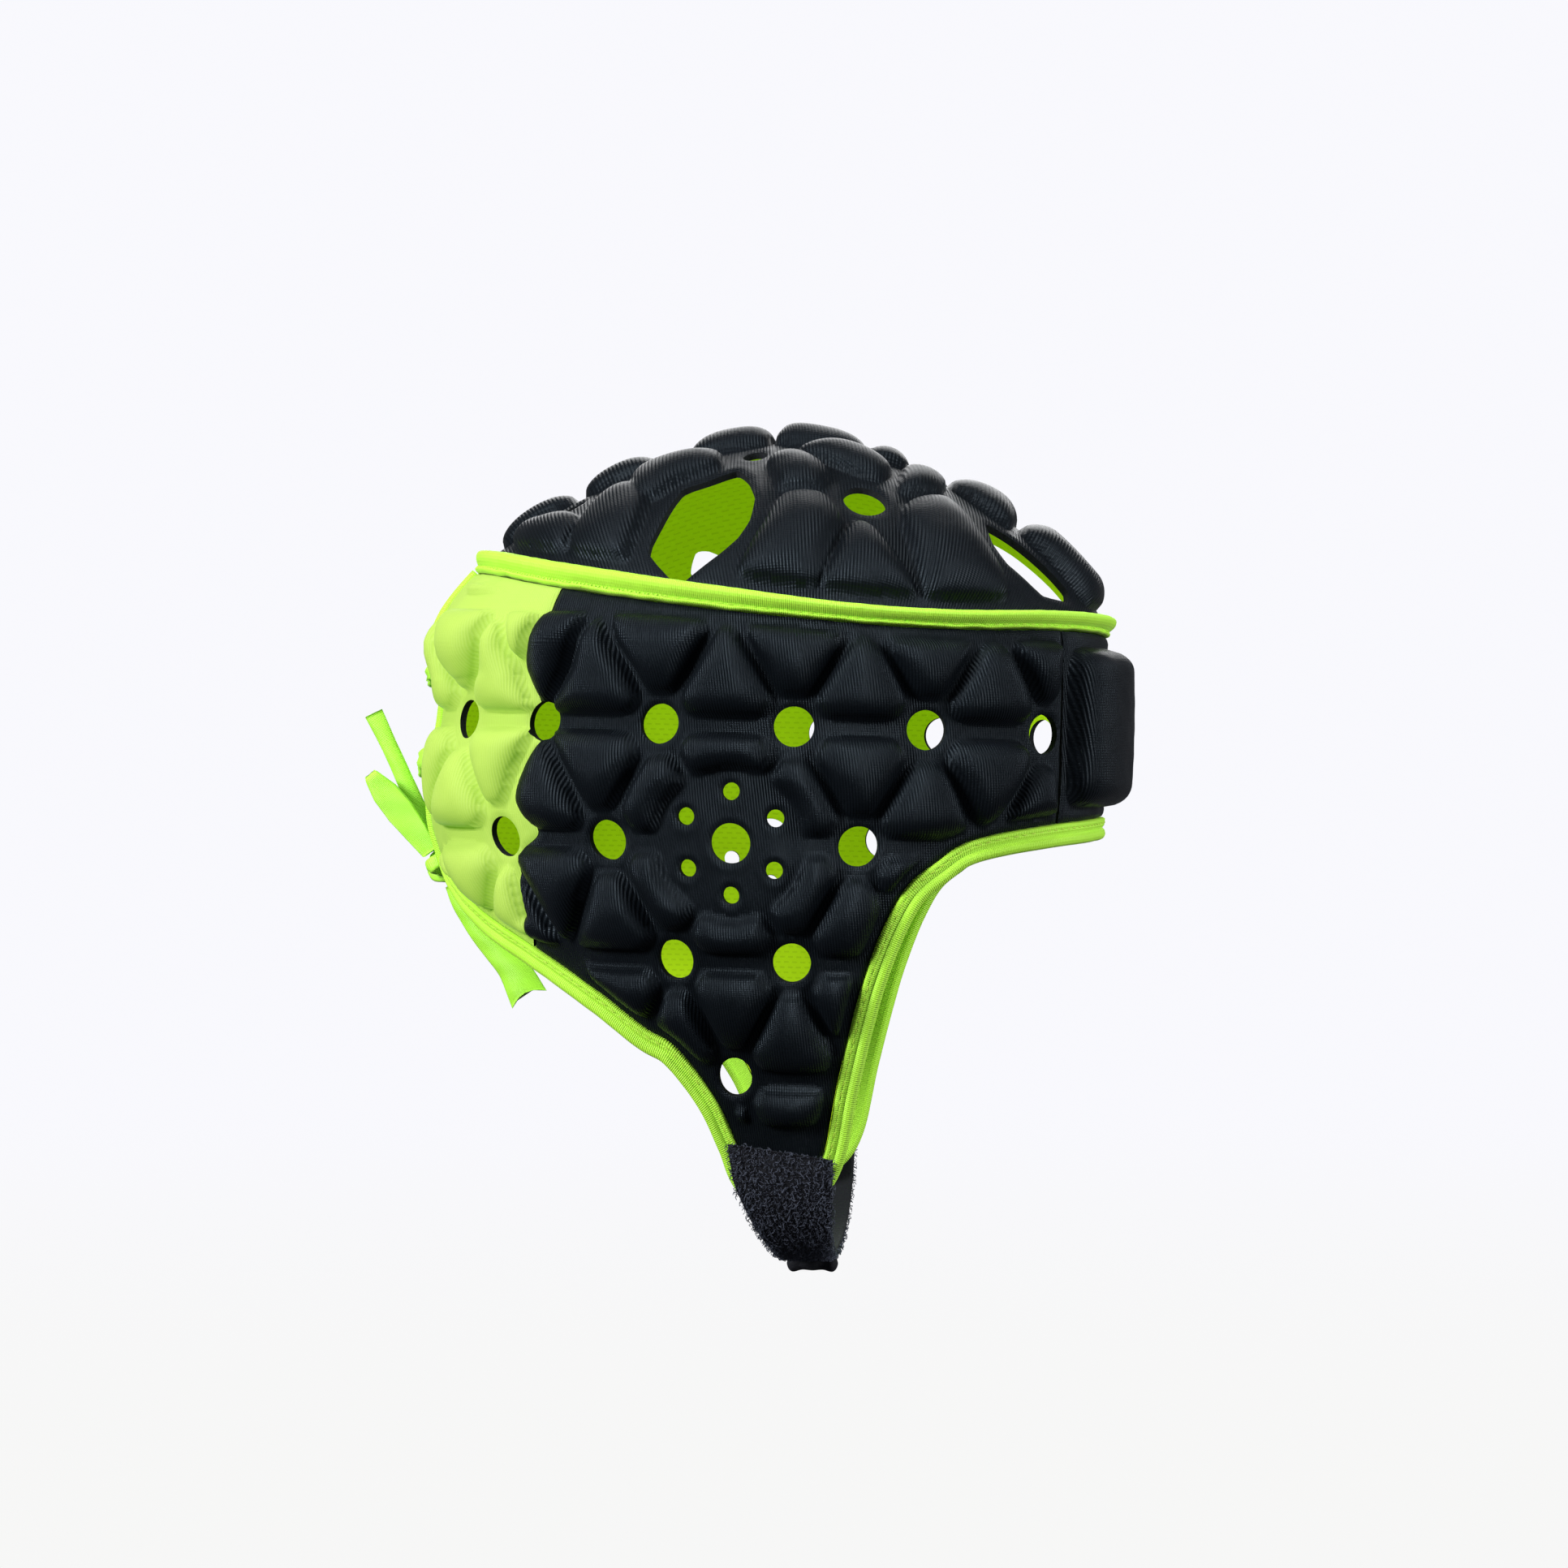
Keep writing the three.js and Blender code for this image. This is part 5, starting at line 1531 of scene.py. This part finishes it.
def stitch_tree(finish):
    tree, given = new_tree("running_stitch", {"Pitch": 0.0027, "Long": 0.0017, "Thick": 0.0005})
    start = Wire(tree)
    line = start.add("GeometryNodeMeshToCurve", None, {"Mesh": given["Geometry"]})
    spots = start.add("GeometryNodeResampleCurve", {"mode": "LENGTH"},
                      {"Curve": line, "Length": given["Pitch"]})
    tangent = start.add("GeometryNodeInputTangent")
    turn = start.add("FunctionNodeAlignRotationToVector", {"axis": "X"}, {"Vector": tangent})
    size = start.add("ShaderNodeCombineXYZ", None,
                     {"X": given["Long"], "Y": given["Thick"], "Z": given["Thick"]})
    capsule = start.add("GeometryNodeMeshUVSphere", None, {"Segments": 8, "Rings": 6, "Radius": 0.5})
    sewn = start.add("GeometryNodeInstanceOnPoints", None,
                     {"Points": spots, "Instance": capsule, "Rotation": turn, "Scale": size})
    end_tree(tree, sewn, finish)
    return tree


def grown(name, base, tree, numbers):
    """The plain mesh that a tree makes on a base object."""
    modifier = base.modifiers.new(name, "NODES")
    modifier.node_group = tree
    for item in tree.interface.items_tree:
        if item.in_out == "INPUT" and item.name in numbers:
            modifier[item.identifier] = numbers[item.name]
    graph = bpy.context.evaluated_depsgraph_get()
    mesh = bpy.data.meshes.new_from_object(base.evaluated_get(graph))
    base.modifiers.remove(modifier)
    bpy.data.objects.remove(base)
    mesh.name = name
    return new_object(name, mesh)


running_stitch = stitch_tree(lime_thread)


def line_object(lines):
    """Open lines as one object of edges, for the stitches to follow."""
    points = np.vstack(lines) * MM
    edges = []
    start = 0
    for line in lines:
        edges += [(start + i, start + i + 1) for i in range(len(line) - 1)]
        start += len(line)
    mesh = bpy.data.meshes.new("stitch_line")
    mesh.from_pydata(points.tolist(), edges, [])
    return new_object("stitch_line", mesh)


def sew(name, lines, numbers, slot):
    piece = grown(name, line_object(lines), running_stitch, numbers)
    return place_piece(piece, slot)


# %% Sewing the bindings
FLANGE_STITCH = {"Pitch": 0.0034, "Long": 0.0023, "Thick": 0.00055}
ZIGZAG_STITCH = {"Pitch": 0.01, "Long": 0.0023, "Thick": 0.0005}
ZIGZAG_FROM = HALF_GIRTH * 0.6
ZIGZAG_STEP = 1.5
ZIGZAG_TALL = 1.5
STITCH_LINE_STEPS = 700


def stitch_up(around):
    return STITCH_LINE * band_wide(around) / BINDING


def binding_stitch_line():
    """The running stitch round the brow and sides, up to where the zigzag starts."""
    around = np.linspace(-ZIGZAG_FROM, ZIGZAG_FROM, STITCH_LINE_STEPS)
    return on_head(around, above_seam(around, stitch_up(around)), WALL + STITCH_OUT + 0.1)


def zigzag_stitches():
    """One short line for each stitch of the zigzag round the rear."""
    middles = np.arange(ZIGZAG_FROM, 2 * HALF_GIRTH - ZIGZAG_FROM, ZIGZAG_STEP)
    lean = np.where(np.arange(len(middles)) % 2, 1, -1)[:, None]
    part = np.array([0.0, 0.2])
    around = middles[:, None] + part * ZIGZAG_STEP
    up = stitch_up(around) + lean * part * ZIGZAG_TALL
    return list(on_head(around, above_seam(around, up), WALL + STITCH_OUT + 0.2))


def hem_stitch_line():
    at = np.linspace(0.003, 0.995, STITCH_LINE_STEPS)
    spots = point_at(side_edge, at)
    groove = GAP + 0.5 * (0.45 * hem_wide(at) - GAP)
    flat = spots + past_edge(spots) * groove[:, None]
    around, z = to_head(flat)
    return on_head(around, z, WALL + 0.72)


hem_line = hem_stitch_line()
sew("top_binding_stitches", [binding_stitch_line()], FLANGE_STITCH, "lime_binding")
sew("top_binding_zigzag", zigzag_stitches(), ZIGZAG_STITCH, "lime_binding")
sew("hem_stitches", [hem_line, hem_line * [1, -1, 1]], FLANGE_STITCH, "lime_binding")

# %% [markdown]
# At the nape the lace crosses the opening twice, each time through a slit in
# the knit beside the hem, and ends in a knot. Scrunched tape is soft and
# rounded, so each crossing is a thick rolled band that rises over the hems.

# %% Lace crossings
CROSSING_ROWS = {"lace_crossing_upper": 0.28, "lace_crossing_lower": 1.1}
LACE_REACH = 1.8
LACE_SLANT = 2.4
FLAP_RISE = WALL + HEM_RISE
CROSSING_STEPS = 75


def crossing(name, rows, seed):
    half = LACE_GAP / 2 + REAR_HEM
    part = np.linspace(-LACE_REACH, LACE_REACH, CROSSING_STEPS)
    around = HALF_GIRTH - part * half
    z = -CROWN_DEPTH - rows * ROW
    over = smoothstep((LACE_REACH - np.abs(part)) / 0.4)
    low = WALL - 0.6 + (HEM_RISE + 0.9) * over
    across, through = ribbon_section(18)
    random = np.random.default_rng(seed)
    twist = random.uniform(0, 2 * np.pi)
    wide = LACE_WIDE * (0.9 + 0.25 * over + 0.1 * np.sin(part * 5 + twist))
    thick = 1.2 + 2.2 * over + 0.3 * np.sin(part * 7 + twist)
    slant = part * LACE_SLANT
    folds = 0.3 * np.sin(across[None] * 6 + part[:, None] * 3 + twist) * over[:, None]
    up = slant[:, None] + across * wide[:, None] / 2
    out = low[:, None] + (through + 1) / 2 * thick[:, None] + folds * (through > 0)
    rings = on_head(around[:, None], z + up, out)
    return sweep(name + "_tape", rings, False, lime_lace, part * half, across * LACE_WIDE)


for number, (node, rows) in enumerate(CROSSING_ROWS.items()):
    place_piece(crossing(node, rows, 31 + number), "lime_lace", node)

# %% Lace knot
KNOT_ROWS = 1.95
KNOT_LONG = 13.0
KNOT_TALL = 12.0
KNOT_OVER = 1.65
KNOT_TAPE = 2.5


def knot():
    spot = on_head(HALF_GIRTH, -CROWN_DEPTH - KNOT_ROWS * ROW, WALL)
    t = np.linspace(0, 2 * np.pi, 160, endpoint=False)
    y = (np.sin(t) + 2 * np.sin(2 * t)) / 2.76
    z = (np.cos(t) - 2 * np.cos(2 * t)) / 2.8
    x = np.sin(3 * t)
    wide = LACE_GAP + 2 * KNOT_OVER
    size = np.array([KNOT_LONG, wide, KNOT_TALL]) / 2 - KNOT_TAPE
    line = spot * [1, 0, 1] + np.stack([x, y, z], -1) * size
    along = unit_vector(np.roll(line, -1, axis=0) - np.roll(line, 1, axis=0))
    away = unit_vector(line - spot * [1, 0, 1])
    flat = unit_vector(np.cross(along, away))
    out = np.cross(flat, along)
    across, through = ribbon_section(16)
    folds = 1 + 0.1 * np.sin(t[:, None] * 9 + across * 5)
    rings = (line[:, None] + flat[:, None] * (across * KNOT_TAPE * folds)[..., None]
             + out[:, None] * (through * KNOT_TAPE * 0.62 * folds)[..., None])
    return sweep("lace_knot_tape", rings, True, lime_lace, lengths(line), across * LACE_WIDE)


place_piece(knot(), "lime_lace", "lace_knot")

# %% [markdown]
# The chin strap is a band sewn to each flap that hangs in a loop and meets in a
# rolled seam under the chin. Its body is a plain closed band. Its outside is
# loop pile, thousands of tiny curls, scattered by Geometry Nodes over the
# outer face: a curl is a short arc with three sides, a few dozen faces. The
# band's edges follow a table by depth, and its sewn top slants down to the front.

# %% Strap body
STRAP_WIDE = 31.7
STRAP_THICK = 2.5
STRAP_DROP = 36.8
STRAP_LAP = 0.06
STRAP_MIDDLE = 0.4
STRAP_CLEAR = 1.0
STRAP_POWER = 2.8
STRAP_EDGES = np.array([
    (-STRAP_LAP, -0.394, 0.606),
    (0.15, -0.366, 0.604),
    (0.3, -0.335, 0.6),
    (0.5, -0.245, 0.592),
    (0.72, -0.13, 0.577),
    (0.87, -0.038, 0.56),
    (1.0, 0.03, 0.54),
])
STRAP_SLANT = (1.4, 6.2)
STRAP_SLANT_FADE = 0.4
STRAP_STEPS = 64
STRAP_COLUMNS = 22
STRAP_GROUND = 1.9

strap_top = EAR_Z - STRAP_TOP * ROW
strap_half = -on_head(EAR_GIRTH - STRAP_MIDDLE * PITCH, strap_top, FLAP_RISE + GAP)[1] + STRAP_CLEAR


def strap_frame():
    """Along the strap: side place, height, outward way, rear and front edge."""
    turn = (1 - np.cos(np.linspace(0, np.pi, STRAP_STEPS))) * np.pi / 4
    y = strap_half * np.cos(turn) ** (2 / STRAP_POWER)
    drop = np.sin(turn) ** (2 / STRAP_POWER)
    y = np.concatenate([[strap_half], y])
    y[-1] = GAP / 2
    drop = np.concatenate([[-STRAP_LAP], drop])
    run = unit_vector(np.stack([np.gradient(y), np.gradient(-drop * STRAP_DROP)], -1))
    run[-1] = (-1, 0)
    rear = STRAP_WIDE * read_table(STRAP_EDGES, 1, drop)
    front = STRAP_WIDE * read_table(STRAP_EDGES, 2, drop)
    return y, strap_top - drop * STRAP_DROP, run, rear, front


def strap_points(out, side):
    """Points of the strap, this far out and this far from rear to front."""
    y, z, run, rear, front = strap_frame()
    x = rear[:, None] + (front - rear)[:, None] * side
    out = np.broadcast_to(out, x.shape)
    drop = (strap_top - z) / STRAP_DROP
    fade = np.clip(1 - (drop + STRAP_LAP) / STRAP_SLANT_FADE, 0, 1)[:, None]
    slant = fade * (STRAP_SLANT[0] + (STRAP_SLANT[1] - STRAP_SLANT[0]) * side)
    return np.stack([x, -(y[:, None] - run[:, 1:] * out), z[:, None] - slant + run[:, :1] * out], -1)


def strap_body(name):
    side = np.linspace(0, 1, STRAP_COLUMNS)
    round_edge = 1 - 0.55 * (np.abs(2 * side - 1) ** 8)
    outer = strap_points(STRAP_GROUND * round_edge, side)
    inner = strap_points(0.15 * (1 - round_edge), side)[:, ::-1]
    rings = np.concatenate([outer, inner], axis=1)
    run = lengths(rings[:, 4])
    across = np.concatenate([side, side[::-1]]) * STRAP_WIDE
    return sweep(name, rings, False, strap_ground, run, across)


strap_right = strap_body("strap_right_band")
strap_left = mirror_of(strap_right, "strap_left_band")
place_piece(strap_right, "loop_pile", "chin_strap_right")
place_piece(strap_left, "loop_pile", "chin_strap_left")

# %% Loop pile by Geometry Nodes
PILE = {"Curls": 2.6e6, "Curl": 0.00085, "Strand": 0.0001}
PILE_SEED = 7
CURL_TURN = math.radians(235)
CURL_LEAN = 0.9
CURL_SIZES = (0.55, 1.5)


def pile_tree(finish):
    tree, given = new_tree("loop_pile", PILE)
    start = Wire(tree)
    spread = start.add("GeometryNodeDistributePointsOnFaces", None,
                       {"Mesh": given["Geometry"], "Density": given["Curls"], "Seed": PILE_SEED})
    facing = Wire(tree, spread.socket.node.outputs["Rotation"])
    arc = start.add("GeometryNodeCurveArc", None,
                    {"Resolution": 6, "Radius": given["Curl"], "Sweep Angle": CURL_TURN})
    strand = start.add("GeometryNodeCurvePrimitiveCircle", None, {"Resolution": 3, "Radius": given["Strand"]})
    curl = start.add("GeometryNodeCurveToMesh", None, {"Curve": arc, "Profile Curve": strand})
    upright = start.add("GeometryNodeTransform", None, {"Geometry": curl, "Rotation": (math.pi / 2, 0, 0)})
    spin = start.add("FunctionNodeRandomValue", {"data_type": "FLOAT_VECTOR"},
                     {"Min": (-CURL_LEAN, -CURL_LEAN, 0), "Max": (CURL_LEAN, CURL_LEAN, 2 * math.pi),
                      "Seed": PILE_SEED}, out="Value")
    turn = start.add("FunctionNodeEulerToRotation", None, {0: spin})
    way = start.add("FunctionNodeRotateRotation", {"rotation_space": "LOCAL"},
                    {"Rotation": facing, "Rotate By": turn})
    size = start.add("FunctionNodeRandomValue", {"data_type": "FLOAT"},
                     {"Min": CURL_SIZES[0], "Max": CURL_SIZES[1], "Seed": PILE_SEED + 1}, out="Value")
    grown_pile = start.add("GeometryNodeInstanceOnPoints", None,
                           {"Points": spread, "Instance": upright, "Rotation": way, "Scale": size})
    end_tree(tree, grown_pile, finish)
    return tree


def pile_base(side):
    """The strap's outer face and edges alone, for the curls to grow on."""
    across = np.linspace(-0.012, 1.012, 26)
    bend = STRAP_GROUND - 0.5 * np.abs(2 * across - 1) ** 8
    points = strap_points(bend, across) * [1, side, 1]
    rows, columns = points.shape[:2]
    faces = [(i * columns + k, i * columns + k + 1, (i + 1) * columns + k + 1, (i + 1) * columns + k)
             for i in range(rows - 1) for k in range(columns - 1)]
    if side < 0:
        faces = [tuple(reversed(face)) for face in faces]
    mesh = bpy.data.meshes.new("pile_base")
    mesh.from_pydata((points.reshape(-1, 3) * MM).tolist(), [], faces)
    return new_object("pile_base", mesh)


curls = pile_tree(loop_pile)
for name, side in (("strap_right_pile", 1), ("strap_left_pile", -1)):
    place_piece(grown(name, pile_base(side), curls, PILE), "loop_pile")

# %% [markdown]
# Where the halves meet, the strap's edges are rolled together and sewn. The
# roll is a smooth dark cylinder with a soft lump at each end.

# %% Strap seam
STRAP_SEAM = 5.0


def seam_roll():
    rear, front = STRAP_WIDE * STRAP_EDGES[-1, 1:]
    at = np.linspace(0, 1, 60)
    x = rear + (front - rear) * at
    ends = np.minimum(at, 1 - at) * (front - rear)
    lump = 1 + 0.18 * np.exp(-((ends - 2.2) / 1.6) ** 2) - 0.12 * np.exp(-((ends - 5) / 2.0) ** 2)
    close = np.sqrt(np.clip(1 - (1 - np.clip(ends / 1.8, 0, 1)) ** 2, 0.02, 1))
    turn = 2 * np.pi * np.arange(20) / 20
    z = strap_top - STRAP_DROP - STRAP_THICK - GAP - STRAP_SEAM / 2
    size = (lump * close)[:, None]
    y = STRAP_SEAM * 0.56 * np.cos(turn) * size
    height = z + STRAP_SEAM * 0.46 * np.sin(turn) * size
    rings = np.stack([np.broadcast_to(x[:, None], y.shape), y, height], -1)
    return sweep("strap_seam_roll", rings, False, strap_ground, x, turn * STRAP_SEAM / 2)


place_piece(seam_roll(), "loop_pile", "strap_seam")

# %% [markdown]
# The studio is a white sweep. The floor only has to look pale, so it shines by
# itself and lights nothing. The world is bright for the camera and dimmer as a
# light, so that the softboxes can model the black pads.

# %% Floor and world
FLOOR_HEIGHT = -0.45
FLOOR_HALF = 60.0
FLOOR_FADE = (0.8, 3.4)
BACKDROP = colour(0.945, 0.945, 0.985)
FLOOR_COLOUR = colour(0.93, 0.93, 0.925)


def make_floor():
    corners = [(-FLOOR_HALF, -FLOOR_HALF), (FLOOR_HALF, -FLOOR_HALF), (FLOOR_HALF, FLOOR_HALF),
               (-FLOOR_HALF, FLOOR_HALF)]
    mesh = bpy.data.meshes.new("pale_floor")
    mesh.from_pydata([(x, y, FLOOR_HEIGHT) for x, y in corners], [], [(0, 1, 2, 3)])
    finish, tree, shader = new_finish("pale_floor")
    shader.inputs["Base Color"].default_value = colour(0, 0, 0)
    shader.inputs["Specular IOR Level"].default_value = 0
    start = Wire(tree)
    place = start.add("ShaderNodeTexCoord", out="Object")
    away = start.add("ShaderNodeVectorMath", {"operation": "LENGTH"}, {0: place}, out="Value")
    fade = start.add("ShaderNodeMapRange", {"interpolation_type": "SMOOTHSTEP"},
                     {"Value": away, "From Min": FLOOR_FADE[0], "From Max": FLOOR_FADE[1]})
    feed(shader, "Emission Color", blend(start, fade, FLOOR_COLOUR, BACKDROP))
    shader.inputs["Emission Strength"].default_value = 1
    mesh.materials.append(finish)
    floor = new_object("pale_floor", mesh)
    floor.visible_diffuse = False
    floor.visible_glossy = False
    floor.visible_shadow = False


def make_world():
    world = bpy.data.worlds.new("studio")
    world.use_nodes = True
    start = Wire(world.node_tree)
    path = start.add("ShaderNodeLightPath", out="Is Camera Ray")
    place = start.add("ShaderNodeTexCoord", out="Generated")
    split = start.add("ShaderNodeSeparateXYZ", None, {"Vector": place}, out="Z")
    light = blend(start, split * 0.5 + 0.5, colour(0.07, 0.07, 0.075), colour(0.16, 0.16, 0.17))
    shown = blend(start, path, light, BACKDROP)
    background = world.node_tree.nodes["Background"]
    world.node_tree.links.new(shown.socket, background.inputs["Color"])
    bpy.context.scene.world = world


make_floor()
make_world()

# %% Softboxes
SOFTBOXES = {
    "softbox_top": {"place": (-0.2, -0.5, 1.3), "size": 0.8, "power": 14},
    "softbox_left": {"place": (-1.2, -1.1, 0.5), "size": 0.55, "power": 38},
    "softbox_right": {"place": (1.5, -0.5, 0.3), "size": 0.8, "power": 22},
    "softbox_back": {"place": (0.0, 1.4, 0.7), "size": 1.0, "power": 10},
}
AIM = Vector((0, 0, -0.1))

for name, box in SOFTBOXES.items():
    lamp_data = bpy.data.lights.new(name, "AREA")
    lamp_data.size = box["size"]
    lamp_data.energy = box["power"]
    lamp = new_object(name, lamp_data)
    lamp.location = box["place"]
    lamp.rotation_euler = (AIM - Vector(box["place"])).to_track_quat("-Z", "Y").to_euler()
bpy.context.scene.view_settings.view_transform = "Standard"
print("lights", len(SOFTBOXES))
